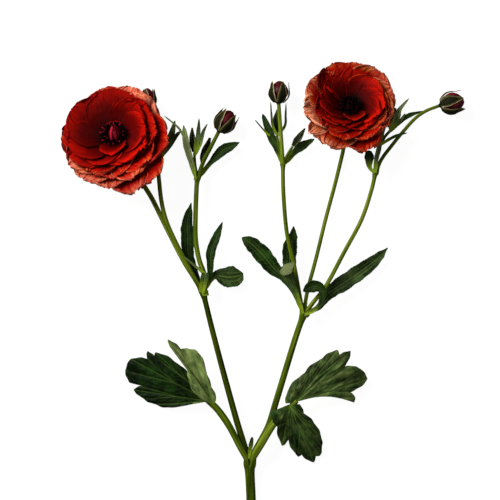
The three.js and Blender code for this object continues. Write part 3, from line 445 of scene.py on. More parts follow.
# ---------------------------------------------------------------- meshes
class Form:
    """Points and faces of one piece, with what its finish reads at each point.

    spot: place from root to tip and from side to side, and a number of its own: brightness of a petal, partly
        painted light and shade, tone of a leaf, share of red in the eye, and elsewhere a seed of the pattern
    kind: 1 on the inner or upper face, distance to the margin, and strength of a leaf's vein, paleness of a
        petal's margin, partly painted highlight, or tone of a stem, partly painted shade
    """

    def __init__(self):
        self.points = []
        self.faces = []
        self.spots = []
        self.kinds = []
        self.count = 0

    def add(self, points, faces, spots, kinds):
        self.points.append(np.reshape(points, (-1, 3)))
        self.spots.append(np.reshape(spots, (-1, 3)))
        self.kinds.append(np.reshape(kinds, (-1, 3)))
        self.faces.extend([[k + self.count for k in face] for face in faces])
        self.count += len(self.points[-1])


def grid_faces(rows, columns, closed=False):
    """Quads of a grid of points; closed joins the last column to the first."""
    faces = []
    for i in range(rows - 1):
        for j in range(columns if closed else columns - 1):
            k = (j + 1) % columns
            faces.append([i * columns + j, (i + 1) * columns + j, (i + 1) * columns + k, i * columns + k])
    return faces


def notes(shape, *parts):
    """Three numbers for each point of a grid."""
    return np.stack([np.broadcast_to(np.asarray(part, float), shape) for part in parts], axis=-1)


def normals(grid):
    return unit(np.cross(np.gradient(grid, axis=0), np.gradient(grid, axis=1)))


def sheet(form, grid, thickness, spot, margin, vein=0.0):
    """Closed sheet round a grid of points, thinner towards its margin, with its front where normals point."""
    shape = rows, columns = grid.shape[:2]
    half = 0.5 * thickness * (0.35 + 0.65 * step(0, 1.5, margin))[..., None]
    normal = normals(grid)
    front, back = grid + normal * half, grid - normal * half
    under = rows * columns
    faces = grid_faces(rows, columns)
    faces += [[under + k for k in reversed(face)] for face in grid_faces(rows, columns)]
    rim = [i * columns for i in range(rows)]
    rim += [(rows - 1) * columns + j for j in range(1, columns)]
    rim += [(i + 1) * columns - 1 for i in range(rows - 2, -1, -1)]
    rim += list(range(columns - 2, 0, -1))
    faces += [[a, under + a, under + b, b] for a, b in zip(rim, rim[1:] + rim[:1])]
    form.add(
        np.concatenate([front.reshape(-1, 3), back.reshape(-1, 3)]),
        faces,
        np.concatenate([notes(shape, *spot).reshape(-1, 3)] * 2),
        np.concatenate([notes(shape, side, margin, vein).reshape(-1, 3) for side in (1, 0)]),
    )


def tube(form, path, width, steps, sides, seed=0.0, ribs=0.0, swell=(), tone=0.0):
    """Round stem along a path, closed at both ends, with fine ribs and a swelling at each joint."""
    t, at, side, up = stations(path, steps)
    angle = np.linspace(0, 2 * math.pi, sides, endpoint=False)
    radius = along(width, t) / 2
    for centre, size in swell:
        near = np.linalg.norm(at - np.array(centre), axis=1)
        radius = radius + np.maximum(size - radius, 0) * 0.85 * np.exp(-((near / (1.25 * size)) ** 2))
    length = np.concatenate([[0], np.cumsum(np.linalg.norm(np.diff(at, axis=0), axis=1))])
    rib = 1 + ribs * np.cos(8 * angle + 0.4 * np.sin(4 * angle))
    reach = radius[:, None] * rib[None, :]
    points = across(at, side, up, reach * np.cos(angle), reach * np.sin(angle))
    faces = grid_faces(steps + 1, sides, closed=True)
    faces.append(list(range(sides)))
    faces.append([steps * sides + k for k in reversed(range(sides))])
    shape = reach.shape
    form.add(points, faces, notes(shape, length[:, None], angle[None, :] / (2 * math.pi), seed),
             notes(shape, 1, 5, tone))


def lathe(form, profile, segments, place, seed, tone=0.0):
    """Turned solid round the axis of a frame."""
    profile = np.array(profile, float)
    angle = np.linspace(0, 2 * math.pi, segments, endpoint=False)
    shape = (len(profile), segments)
    rings = around(profile[:, :1], angle, profile[:, 1:])
    faces = [face[::-1] for face in grid_faces(len(profile), segments, closed=True)]
    faces.append(list(reversed(range(segments))))
    faces.append([(len(profile) - 1) * segments + k for k in range(segments)])
    t = np.linspace(0, 1, len(profile))
    form.add(moved(rings, place), faces,
             notes(shape, t[:, None], angle[None, :] / math.pi - 1, seed), notes(shape, 1, 5, tone))


def moved(points, place):
    """Points taken from a piece's own frame to the table's."""
    turn = np.array(place.to_3x3())
    return np.asarray(points) @ turn.T + np.array(place.translation)


def make(name, form, finish, slot, *nodes):
    """Mesh of a form, riding on the one body, in the place of the solids that it stands for."""
    mesh = bpy.data.meshes.new(name)
    mesh.from_pydata((np.concatenate(form.points) * MM).tolist(), [], form.faces)
    for label, values in (("spot", form.spots), ("kind", form.kinds)):
        layer = mesh.attributes.new(label, "FLOAT_VECTOR", "POINT")
        layer.data.foreach_set("vector", np.concatenate(values).astype(np.float32).ravel())
    mesh.shade_smooth()
    mesh.materials.append(finish)
    piece = bpy.data.objects.new(name, mesh)
    bpy.context.scene.collection.objects.link(piece)
    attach(piece, "root")
    if nodes:
        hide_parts(*nodes)


# ---------------------------------------------------------------- finishes
def operator(operation, reflected=False):
    """Operator between values, which adds its Math node."""

    def apply(value, other):
        pair = (other, value) if reflected else (value, other)
        return value.finish.maths(operation, *pair)

    return apply


class Value:
    """Output of a shader node."""

    def __init__(self, finish, socket):
        self.finish = finish
        self.socket = socket

    def __abs__(self):
        return self.finish.maths("ABSOLUTE", self)

    __add__ = operator("ADD")
    __radd__ = operator("ADD", reflected=True)
    __sub__ = operator("SUBTRACT")
    __rsub__ = operator("SUBTRACT", reflected=True)
    __mul__ = operator("MULTIPLY")
    __rmul__ = operator("MULTIPLY", reflected=True)
    __truediv__ = operator("DIVIDE")
    __rtruediv__ = operator("DIVIDE", reflected=True)


class Finish:
    """A material whose colour, gloss and relief change over the surface."""

    def __init__(self, name, **constants):
        self.material = bpy.data.materials.new(name)
        self.material.use_nodes = True
        self.tree = self.material.node_tree
        self.skin = self.tree.nodes["Principled BSDF"]
        for socket, value in constants.items():
            self.skin.inputs[socket.replace("_", " ")].default_value = value

    def node(self, kind, settings=None, sockets=None, out=0):
        made = self.tree.nodes.new(kind)
        for name, value in (settings or {}).items():
            setattr(made, name, value)
        for name, value in (sockets or {}).items():
            self.feed(made.inputs[name], value)
        return Value(self, made.outputs[out])

    def feed(self, socket, value):
        if isinstance(value, Value):
            self.tree.links.new(value.socket, socket)
        else:
            socket.default_value = value

    def maths(self, operation, *values):
        return self.node("ShaderNodeMath", {"operation": operation}, dict(enumerate(values)))

    def read(self, label):
        """The three numbers that a mesh holds under a label."""
        vector = self.node("ShaderNodeAttribute", {"attribute_name": label}, out=1)
        first = self.node("ShaderNodeSeparateXYZ", {}, {0: vector})
        return [Value(self, socket) for socket in first.socket.node.outputs]

    def vector(self, x, y, z):
        return self.node("ShaderNodeCombineXYZ", {}, {"X": x, "Y": y, "Z": z})

    def place(self):
        """Place on the object, in metres."""
        return self.node("ShaderNodeTexCoord", out=3)

    def noise(self, vector, scale, detail, roughness):
        sockets = {"Vector": vector, "Scale": scale, "Detail": detail, "Roughness": roughness}
        return self.node("ShaderNodeTexNoise", {}, sockets)

    def rise(self, low, high, value):
        """Smooth rise from 0 to 1 as a value goes from low to high."""
        return self.node("ShaderNodeMapRange", {"interpolation_type": "SMOOTHSTEP"},
                         {"Value": value, "From Min": low, "From Max": high})

    def blend(self, first, second, share):
        return self.node("ShaderNodeMix", {"data_type": "RGBA"}, {0: share, 6: first, 7: second}, out=2)

    def dim(self, paint, amount):
        """A colour times a number."""
        return self.node("ShaderNodeVectorMath", {"operation": "SCALE"}, {0: paint, "Scale": amount})

    def bump(self, height, distance, strength):
        return self.node("ShaderNodeBump", {}, {"Height": height, "Distance": distance, "Strength": strength})

    def wear(self, paint, gloss=None, relief=None):
        self.feed(self.skin.inputs["Base Color"], paint)
        if gloss is not None:
            self.feed(self.skin.inputs["Roughness"], gloss)
        if relief is not None:
            self.feed(self.skin.inputs["Normal"], relief)
        return self.material


def paint(code):
    """Linear colour of a web colour code."""
    parts = [int(code[k:k + 2], 16) / 255 for k in (1, 3, 5)]
    return (*[((c + 0.055) / 1.055) ** 2.4 if c > 0.04045 else c / 12.92 for c in parts], 1)


def petal_finish(name, throat, heart, flesh, warm, rim, gold):
    """Satin petal: dark throat, streaks from root to tip, a pale crinkled margin with golden patches, and
    painted light and shade.
    """
    f = Finish(name, Specular_IOR_Level=0.03)
    t, v, glow = f.read("spot")
    seed = glow * 7
    inner, margin, pale = f.read("kind")
    streak = f.noise(f.vector(v * 16, t * 1.6, seed * 31), 1.6, 3.0, 0.6)
    thread = f.noise(f.vector(v * 60, t * 5, seed * 17), 1.5, 2.0, 0.6)
    patch = f.noise(f.vector(v * 1.9 + seed * 11, t * 3.2, seed * 5), 1.2, 2.0, 0.5)
    crumple = f.noise(f.place(), 760, 3.0, 0.6)
    # dark throat fading into the heart and the flesh towards the tip: partly the petal's own darker base and
    # partly painted shade deep in the cup
    body = f.blend(paint(throat), paint(heart), f.rise(0.16, 0.55, t + 0.3 * (streak - 0.5)))
    body = f.blend(body, paint(flesh), f.rise(0.55, 1.0, t + 0.4 * (streak - 0.5) + 0.2 * (patch - 0.5)))
    # towards the margin: the petal's own warmer red and golden patches, and a pale crinkled band that is
    # partly its own paler colour and partly painted highlights on the crinkles
    reach = 0.7 + 5.5 * pale
    border = (margin + 3 * (patch - 0.5) + 1.2 * (thread - 0.5)) / reach
    band = 1 - f.rise(0.25, 1, border)
    body = f.blend(body, paint(warm), (1 - f.rise(0.6, 1.5, border)) * f.rise(0, 0.3, pale))
    speckle = f.rise(0.43, 0.57, 0.5 * streak + 0.2 * thread + 0.3 * crumple)
    golden = f.rise(0.46, 0.66, patch + 0.5 * (thread - 0.5)) * (1 - f.rise(0.8, 1.6, margin / reach))
    golden = golden * f.rise(0, 0.12, pale) * (0.35 + 0.4 * pale) * (0.45 + 0.65 * speckle)
    body = f.blend(body, paint(gold), golden)
    share = f.rise(0.1, 0.9, pale + 0.9 * (patch - 0.5)) * (0.04 + 0.8 * speckle)
    share = share + 0.2 * f.rise(0.9, 1.2, pale)
    body = f.blend(body, paint(rim), band * share)
    # each petal's own number sets its painted light and shade, the patches spread its tone at random, and it
    # darkens towards the root as painted shade under the petals that lie over it
    body = f.dim(body, (0.55 + 0.95 * glow) * (0.8 + 0.4 * patch) * (0.7 + 0.36 * f.rise(0.55, 0.95, t)))
    outer = f.blend(paint(heart), paint(flesh), f.rise(0.36, 0.66, streak))
    # the same pale band on the outer face, partly painted highlight
    outer = f.blend(outer, paint(rim), band * 0.7 * pale * (0.3 + 0.7 * speckle))
    colour = f.blend(outer, body, inner)
    gloss = 0.46 + 0.22 * thread
    return f.wear(colour, gloss, f.bump(thread + 0.6 * streak + 0.8 * crumple * band, 0.0005, 0.6))


def leaf_finish(name, upper, dark, vein_paint, under, edge, bloom, root):
    """Leaf: patches of greens and of painted sheen, paler veins, light underside, thin pale margin and
    yellow-green root.
    """
    f = Finish(name, Specular_IOR_Level=0.06)
    t, v, seed = f.read("spot")
    top, margin, vein = f.read("kind")
    place = f.place()
    cloud = f.noise(place, 120, 3.0, 0.6)
    grain = f.noise(place, 900, 2.0, 0.6)
    thread = f.noise(f.vector(v * 30, t * 3, seed * 13), 1.4, 2.0, 0.5)
    blade = f.blend(paint(dark), paint(upper), f.rise(0.35, 0.7, cloud + 0.25 * (thread - 0.5)))
    # the bloom colour is a painted sheen, laid in patches over the blade
    blade = f.blend(blade, paint(bloom), f.rise(0.5, 0.75, 0.7 * cloud + 0.3 * grain) * 0.4)
    band = f.noise(f.vector(v * 5, t * 0.7, seed * 7), 1.4, 2.0, 0.6)
    pale = f.dim(paint(under)[:3], 2.8 * band - 0.45)
    blade = f.blend(blade, pale, f.rise(0.25, 1.2, seed + 0.5 * (cloud - 0.5) + 0.5 * (band - 0.5)))
    blade = f.blend(blade, paint(vein_paint), vein * 0.5 * f.rise(0.2, 0.8, grain + 0.25))
    blade = f.blend(blade, paint(edge), (1 - f.rise(0.05, 0.5, margin)) * 0.45)
    blade = f.dim(blade, f.rise(-1.2, 0.1, seed))
    blade = f.blend(blade, paint(root), (1 - f.rise(0.1, 0.85, t + 0.3 * (thread - 0.5))) * 0.85)
    below = f.blend(f.dim(paint(under)[:3], 0.55), paint(upper), f.rise(0.45, 0.75, thread) * 0.5)
    below = f.blend(below, paint(vein_paint), vein * 0.5)
    colour = f.blend(below, blade, top)
    gloss = 0.42 + 0.2 * grain - 0.08 * vein
    return f.wear(colour, gloss, f.bump(0.5 * grain + 0.5 * thread - 0.6 * vein, 0.0005, 0.5))


def stem_finish(name, dark, green, light, blush):
    """Ribbed juicy stem: long streaks of greens, each stem in its own tone, partly painted shade, with a dull
    blush in places.
    """
    f = Finish(name, Specular_IOR_Level=0.03)
    length, turn, seed = f.read("spot")
    tone = f.read("kind")[2]
    streak = f.noise(f.vector(turn * 22, length * 0.03, seed * 9), 1.5, 2.0, 0.6)
    cloud = f.noise(f.vector(turn * 3, length * 0.035, seed * 5), 1.2, 2.0, 0.5)
    speck = f.noise(f.place(), 1500, 1.0, 0.5)
    shade = tone + 1.8 * (streak - 0.5) + 0.6 * (cloud - 0.5)
    colour = f.blend(paint(dark), paint(green), f.rise(-0.1, 0.5, shade))
    colour = f.blend(colour, paint(light), f.rise(0.35, 1.1, shade))
    colour = f.blend(colour, paint(blush), f.rise(0.55, 0.75, cloud) * 0.5)
    gloss = 0.38 + 0.2 * streak
    return f.wear(colour, gloss, f.bump(streak + 0.3 * speck, 0.0004, 0.5))


def bud_petal_finish(name, deep, bright):
    """Closed petals of a bud: glossy plum, redder towards the margins."""
    f = Finish(name, Specular_IOR_Level=0.1)
    t, v, seed = f.read("spot")
    streak = f.noise(f.vector(v * 14, t * 2, seed * 23), 1.5, 3.0, 0.6)
    colour = f.blend(paint(deep), paint(bright), f.rise(0.45, 1.0, abs(v) + 0.5 * (streak - 0.5)) * 0.8)
    return f.wear(colour, 0.3 + 0.2 * streak, f.bump(streak, 0.0004, 0.4))


def sepal_finish(name, middle, flank, edge):
    """Sepal: dark middle, green flanks, and a pale margin that is stronger on one side."""
    f = Finish(name, Specular_IOR_Level=0.06)
    t, v, seed = f.read("spot")
    margin = f.read("kind")[1]
    thread = f.noise(f.vector(v * 18, t * 2.5, seed * 19), 1.5, 3.0, 0.6)
    grain = f.noise(f.place(), 1400, 2.0, 0.6)
    colour = f.blend(paint(middle), paint(flank), f.rise(0.45, 0.75, thread) * 0.5)
    colour = f.blend(colour, paint(flank), 1 - f.rise(0.3, 1.4, margin + 0.8 * (thread - 0.5)))
    side = f.rise(-0.35, 0.25, v + 1.2 * (thread - 0.5))
    border = 1 - f.rise(0.05, 0.42, margin + 0.25 * (thread - 0.5))
    colour = f.blend(colour, paint(edge), border * (0.15 + 0.75 * side))
    return f.wear(colour, 0.5 + 0.2 * grain, f.bump(thread + 0.5 * grain, 0.0005, 0.5))


def eye_finish(name, dark, plum, tip):
    """Carpels and stamens: nearly black with plum grain, red where a point's own number says so."""
    f = Finish(name, Specular_IOR_Level=0.04)
    share = f.read("spot")[2]
    grain = f.noise(f.place(), 1600, 2.0, 0.6)
    colour = f.blend(paint(dark), paint(plum), f.rise(0.45, 0.8, grain))
    colour = f.blend(colour, paint(tip), share)
    return f.wear(colour, 0.4 + 0.3 * grain, f.bump(grain, 0.0005, 0.6))


# fifth colour of each: the pale margin, partly painted highlight
PETAL_LEFT = petal_finish("left bloom petal", "#200000", "#560000", "#960800",
                          "#981c10", "#d07c60", "#a85818")
PETAL_RIGHT = petal_finish("right bloom petal", "#1a0000", "#500000", "#960a00",
                           "#98240c", "#ee9a74", "#c06a1a")
# sixth colour of each: a painted sheen
LEAF_LOWER = leaf_finish("lower leaf", "#143404", "#041200", "#628036", "#78884c", "#38541c",
                         "#304c30", "#7c9418")
LEAF_UPPER = leaf_finish("upper leaf", "#163204", "#051400", "#5a7434", "#7c8658", "#2c4a16",
                         "#2a4620", "#7c9418")
STEM = stem_finish("stem", "#0e1400", "#3c5000", "#84942c", "#4c3c10")
BUD_PETAL = bud_petal_finish("bud petal", "#3c060e", "#7c1a28")
SEPAL = sepal_finish("sepal", "#0c0c04", "#3c4018", "#d8bc9c")
SMALL_BUD = sepal_finish("small bud", "#0c0e06", "#2c3414", "#8a8e68")
EYE = eye_finish("eye", "#020102", "#16030a", "#a0182e")


# ---------------------------------------------------------------- stem
def build_stem():
    form = Form()
    for k, (tone, width, path) in enumerate(STEMS.values()):
        steps = max(int(path_length(path) / 0.9), 8)
        if path[0][1] < CUT_END_Y:
            path = [(path[0][0], CUT_END_Y, path[0][2]), *path[1:]]
        tube(form, path, width, steps, 24, k / 16, 0.025, KNOTS, tone)
    for centre, radius in KNOTS:
        profile = [(0.92 * radius * math.sin(a) + 0.001, -0.92 * radius * math.cos(a))
                   for a in np.linspace(0, math.pi, 13)]
        lathe(form, profile, 20, Matrix.Translation(centre), 0.3, 0.4)
    make("stem_and_branches", form, STEM, "stem", "stem")


# ---------------------------------------------------------------- leaves
def build_blade(form, half, path, seed, tone):
    """Narrow leaf along its midrib, each half raised, with a slightly waved margin."""
    draw = seeded(seed)
    length = path_length(path)
    t, at, side, up = stations(path, max(int(length / 0.6), 14))
    reach = along(half, t) * (1 + 0.05 * waves(t * length, 6, draw))
    tip = np.sqrt(np.clip((1 - t) / 0.08, 0, 1))
    root = 0.6 + 0.4 * step(0, 0.12, t)
    reach = np.maximum(reach * tip * root, 0.12)
    v = np.linspace(1, -1, 17)
    widest = max(half)
    sway = (0.08 * widest * waves(t * length, 8, draw))[:, None] * v[None, :] ** 2
    lift = np.abs(v)[None, :] ** 1.25 * reach[:, None] * math.sin(FOLD) + sway
    lift = lift - 0.12 * np.exp(-((v / 0.1) ** 2))[None, :] * min(widest, 2) / 2
    grid = across(at, side, up, v[None, :] * reach[:, None], lift)
    margin = np.minimum(reach[:, None] * (1 - np.abs(v)[None, :]), ((1 - t) * length)[:, None])
    lines = np.exp(-((v / 0.07) ** 2)) + 0.5 * np.exp(-(((np.abs(v) - 0.42) / 0.06) ** 2))
    phase = t[:, None] * length / 2.4 - np.abs(v)[None, :] * 1.6
    rungs = 0.25 * np.maximum(np.cos(2 * math.pi * phase), 0) ** 6
    vein = np.clip(lines[None, :] + rungs, 0, 1) * step(0.3, 1.2, reach)[:, None]
    grid[..., 2] = np.maximum(grid[..., 2], 0.5 * LEAF_THICKNESS)
    sheet(form, grid, LEAF_THICKNESS, (t[:, None] * length / 12, v[None, :], tone), margin, vein)


def distance_to(points, start, end):
    """Distance of points in the plane to a stretch of line, and the share of it that is nearest."""
    start, end = np.array(start[:2]), np.array(end[:2])
    run = end - start
    share = np.clip(((points[..., :2] - start) @ run) / max(run @ run, 1e-9), 0, 1)
    return np.linalg.norm(points[..., :2] - start - share[..., None] * run, axis=-1), share


def leaflet_rim(root, corners):
    """Points of a leaflet's edge, which bulges a little from each corner to the next."""
    rim = []
    for a, b in zip(corners, corners[1:]):
        run = b - a
        count = max(int(np.linalg.norm(run) / 0.55), 3)
        out = np.cross(run, (0, 0, 1))
        if out @ (0.5 * (a + b) - root) < 0:
            out = -out
        for k in range(count):
            s = k / count
            bulge = 0.085 * math.sin(math.pi * s) * (1 + 0.35 * math.sin(2 * math.pi * s))
            rim.append(a + run * s + out * bulge)
    rim.append(corners[-1])
    return np.array(rim)


def leaflet_veins(grid, root, corners, branches, draw):
    """Strength of the veins at the points of a leaflet, and distance of each from the nearest one."""
    veins = np.zeros(grid.shape[:2])
    valley = np.full(grid.shape[:2], 99.0)
    for tip, teeth in branches.items():
        end = corners[tip]
        away, share = distance_to(grid, root, end)
        run = np.linalg.norm(grid[..., :2] - root[:2], axis=-1)
        width = 0.4 * (1 - 0.5 * share) + 1.5 * np.exp(-((run / 5) ** 2))
        veins = np.maximum(veins, np.exp(-((away / width) ** 2)))
        valley = np.minimum(valley, away)
        for k in range(1, 9):
            start = root + (end - root) * k / 10
            for turn in (-1, 1):
                swing = math.radians(turn * (34 + 5 * draw()))
                x, y = ((end - root) * (0.3 - 0.018 * k))[:2]
                branch = np.array([x * math.cos(swing) - y * math.sin(swing),
                                   x * math.sin(swing) + y * math.cos(swing), 0])
                away, share = distance_to(grid, start, start + branch)
                veins = np.maximum(veins, 0.2 * np.exp(-((away / (0.26 * (1 - 0.5 * share))) ** 2)))
                valley = np.minimum(valley, away + 0.8)
        for tooth in teeth:
            start = root + (end - root) * 0.42
            away, share = distance_to(grid, start, corners[tooth])
            veins = np.maximum(veins, 0.75 * np.exp(-((away / (0.34 * (1 - 0.6 * share))) ** 2)))
            valley = np.minimum(valley, away + 0.3)
    return veins, valley


def build_leaflet(form, leaflet, seed):
    """Broad leaflet: rays from its root to its edge, arched, with rounded lobes and sunk veins."""
    draw = seeded(seed)
    root = np.array(leaflet["root"], float)
    corners = [np.array(point, float) for point in leaflet["edge"]]
    rim = leaflet_rim(root, corners)
    t = np.linspace(0.03, 1, 44)
    grid = root + t[:, None, None] * (rim[None] - root)
    grid[..., 2] += leaflet["arch"] * np.sin(math.pi * t)[:, None]
    last = step(0.66, 1, np.linspace(0, 1, len(rim)))[None, :, None]
    grid += np.sin(math.pi * t)[:, None, None] * last * np.array(leaflet.get("bow", (0, 0, 0)))
    veins, valley = leaflet_veins(grid, root, corners, leaflet["veins"], draw)
    margin = (1 - t)[:, None] * np.linalg.norm(rim - root, axis=1)[None, :]
    relief = 0.8 * (1 - np.exp(-valley / 1.8)) * (0.25 + 0.75 * step(0, 4, margin))
    s = np.linspace(0, 1, len(rim)) * len(corners)
    relief = relief + (0.45 * waves(s, 2.3, draw))[None, :] * (t**3)[:, None]
    grid[..., 2] = np.maximum(grid[..., 2] + relief - 0.25, 0.5 * LEAF_THICKNESS)
    side = np.linspace(-1, 1, len(rim))[None, :]
    if np.cross(rim[0] - root, rim[len(rim) // 2] - root)[2] < 0:
        grid, side, margin, veins = (values[:, ::-1] for values in (grid, side, margin, veins))
    sheet(form, grid, LEAF_THICKNESS, (0.3 + t[:, None] * 4, side, leaflet["tone"]), margin, veins)


def build_leaves():
    for k, (name, leaf) in enumerate(LOWER_LEAVES.items()):
        tone, width, path = leaf["petiole"]
        petiole = Form()
        tube(petiole, path, width, 60, 20, 0.4 + 0.1 * k, 0.03, tone=tone)
        make(name.replace("leaf", "petiole"), petiole, STEM, "stem", name)
        form = Form()
        for j, leaflet in enumerate(leaf["leaflets"]):
            build_leaflet(form, leaflet, 31 + 7 * k + j)
        make(name.replace("leaf", "leaflets"), form, LEAF_LOWER, "leaf", name)
    for k, (name, blades) in enumerate(LEAF_SPRAYS.items()):
        form = Form()
        for j, (tone, half, path) in enumerate(blades):
            build_blade(form, half, path, 127 + 13 * k + j, tone)
        make(name + "_fine", form, LEAF_UPPER, "leaf", name)


# ---------------------------------------------------------------- blooms
def leaning(at, lean, towards):
    """Frame whose axis leans from upright towards a compass direction."""
    hinge = Vector((-math.sin(math.radians(towards)), math.cos(math.radians(towards)), 0))
    return Matrix.Translation(at) @ Matrix.Rotation(math.radians(lean), 4, hinge)


def bloom_frame(bloom):
    return leaning(bloom["base"], bloom["lean"], bloom["towards"])


def petal_width(t):
    """Half-width of a petal from its narrow root to its blunt tip, as a share of its widest."""
    claw = 0.22 + 0.78 * np.minimum(t / 0.62, 1) ** 0.8
    end = np.clip(1 - ((np.maximum(t, 0.7) - 0.7) / 0.31) ** 2.8, 0, 1) ** (1 / 2.8)
    return claw * end


def petal_grid(ring, petal, draw, rows=40, columns=60, root=PETAL_ROOT):
    """Points of a petal in its bloom's frame, with the distance of each from the margin."""
    foot, opening, cup, ruffle, curl, wrap = ring
    azimuth, length, half, tip, pale = petal
    t = 1 - (1 - np.linspace(0, 1, rows)[:, None]) ** 1.3
    v = np.linspace(-1, 1, columns)[None, :]
    nick = waves(v * half, 0.4 * half, draw) + 0.5 * waves(v * half, 0.15 * half, draw)
    place = t * (1 + (0.007 + 0.005 * pale) * nick - 0.05 * v**4)
    first, last = math.radians(opening), math.radians(tip)
    curl = curl * (1 + 0.6 * draw())
    ruffle = ruffle * (1 + 0.5 * draw())
    fine = np.linspace(0, 1.12, 300)
    angles = first + (last - first) * fine + math.radians(curl) * step(0.8, 1.02, fine) ** 1.5
    run = np.concatenate([[0], np.cumsum(np.sin(angles[:-1]) * np.diff(fine))])
    climb = np.concatenate([[0], np.cumsum(np.cos(angles[:-1]) * np.diff(fine))])
    angle = np.interp(place, fine, angles)
    radius = root + length * np.interp(place, fine, run)
    height = foot + length * np.interp(place, fine, climb)
    reach = half * petal_width(t) * (1 + 0.025 * waves(t * length, 4, draw) * step(0.3, 0.7, t))
    bow = reach * (cup * v * v + OVERLAP * v) + ruffle * t * t * np.sin(4 * v + math.radians(5 * azimuth))
    border = step(0.55, 1, np.maximum(t, np.abs(v) * step(0.35, 0.8, t)))
    bow = bow + 0.7 * ruffle * border**2 * waves(v * half + 2 * t, 3.4, draw)
    bow = bow + (0.08 + 0.12 * pale) * border * waves(v * half + 3 * t, 1.3, draw)
    bow = bow + 0.03 * step(0.15, 0.5, t) * waves(v * 12, 0.9, draw)
    outward = radius - bow * np.cos(angle)
    upward = height + bow * np.sin(angle)
    sideways = v * reach * (1 - wrap)
    turn = math.radians(azimuth) + v * reach * wrap / np.maximum(radius, root)
    grid = np.stack([outward * np.cos(turn) - sideways * np.sin(turn),
                     outward * np.sin(turn) + sideways * np.cos(turn), upward], axis=-1)
    side_margin = reach * (1 - np.abs(v)) + 1.5 * (1 - step(0.3, 0.6, t)) * half
    return t, v, grid, np.minimum((1 - t) * length, side_margin)


def support_under(over, grid):
    """Height of what a bloom lies over, under each point of a petal."""
    if over is None:
        return np.zeros(grid.shape[:2])
    (x, y), height, reach = over
    return height * np.exp(-((np.hypot(grid[..., 0] - x, grid[..., 1] - y) / reach) ** 2))


def settle(grid, floor):
    """Keeps a sheet over what lies under it, with a soft start."""
    soft = 0.6
    over = (grid[..., 2] - floor) / soft
    lifted = floor + soft * np.where(over > 20, over, np.log1p(np.exp(np.minimum(over, 20))))
    return np.concatenate([grid[..., :2], lifted[..., None]], axis=-1)


def build_petals(side, bloom, finish):
    place = bloom_frame(bloom)
    draw = seeded(bloom["seed"] + 100)
    form = Form()
    for depth, (ring, petals) in enumerate(zip(RINGS, bloom["petals"])):
        for petal in petals:
            t, v, grid, margin = petal_grid(ring, petal, draw)
            grid = moved(grid, place)
            grid = settle(grid, support_under(bloom["over"], grid) + 0.5 * PETAL_THICKNESS)
            # brightness of each petal, which its finish reads: painted light on the side of the bloom turned
            # to the sun and painted shade on the side away from it, stronger and a little brighter in the
            # inner rings, with a small random spread
            sunlit = math.cos(math.radians(petal[0] + bloom["sun"]))
            glow = 0.4 + min(0.04 + 0.15 * depth, 0.38) * sunlit + 0.05 * draw() + 0.04 * depth
            glow = glow + (THIN_PETAL_GLOW if petal[2] < THIN_PETAL else 0)
            sheet(form, grid, PETAL_THICKNESS, (t, v, glow), margin, petal[-1])
    lathe(form, [(0.01, -1.5), (3.4, -0.9), (3.4, 0.7), (0.01, 1.5)], 24, place, 0.2)
    make(f"petals_{side}_fine", form, finish, "petal", f"petals_{side}")


def build_eye(side, bloom):
    """Pointed plum bud of small leaves with dark gaps, in a cushion of black stamens."""
    place = bloom_frame(bloom)
    shift, lean, towards, size = bloom["bud"]
    bud = leaning(Vector(bloom["base"]) + Vector(shift), lean, towards)
    draw = seeded(bloom["seed"] + 40)
    form = Form()
    core = [(0.01, 0.2), (1.4, 0.2), (1.9, 2.4), (1.9, 5), (1.5, 8), (0.8, 10.6), (0.01, 12)]
    lathe(form, [(radius, height * size) for radius, height in core], 20, bud, 0.0)
    glow = bloom["eye"]
    ring = (0.2, 36, 0.5, 0, 0, 0)
    for azimuth, length, half, tip, red in EYE_LEAVES:
        t, v, grid, margin = petal_grid(ring, (azimuth, length * size, half, tip, 0), draw, 24, 14, root=1.4)
        # red only along each leaf's middle and near black at its sides: painted shade in the gaps between the
        # leaves
        ridge = 0.02 + 0.98 * np.exp(-(((v + 0.12) / 0.5) ** 4))
        share = glow * red * (0.15 + 0.85 * step(0.1, 0.6, t)) * ridge
        sheet(form, moved(grid, bud), EYE_LEAF_THICKNESS, (t, v, share), margin)
    for k in range(STAMENS):
        angle = GOLDEN_ANGLE * k
        share = math.sqrt((k + 0.5) / STAMENS)
        tip = mix(3.2, EYE_RADIUS * mix(0.35, 1, size), share) + 0.35 * draw() - 0.1
        tall = mix(7.6, 5.4, share) + 0.6 * draw()
        bent = angle + 0.15 * draw()
        path = [(1.6 * math.cos(angle), 1.6 * math.sin(angle), 2.4),
                (0.62 * tip * math.cos(angle), 0.62 * tip * math.sin(angle), 0.62 * tall),
                (tip * math.cos(bent), tip * math.sin(bent), tall)]
        path = moved(np.array(path), place) + np.array(bloom["bend"]) * np.array([[0], [0.4], [1]])
        tube(form, path, [0.22, 0.2, 0.24], 6, 6)
        end = path[-1]
        reach = unit(path[-1] - path[-2])
        anther = [end - 0.3 * reach, end + 0.5 * reach, end + 1.3 * reach]
        red = 0.4 * (glow + 0.1) * (k % 5 == 2) * (0.4 + share)
        tube(form, anther, [0.35, 0.9, 0.85, 0.3], 6, 8, red)
    make(f"eye_{side}_fine", form, EYE, "eye", f"eye_{side}")


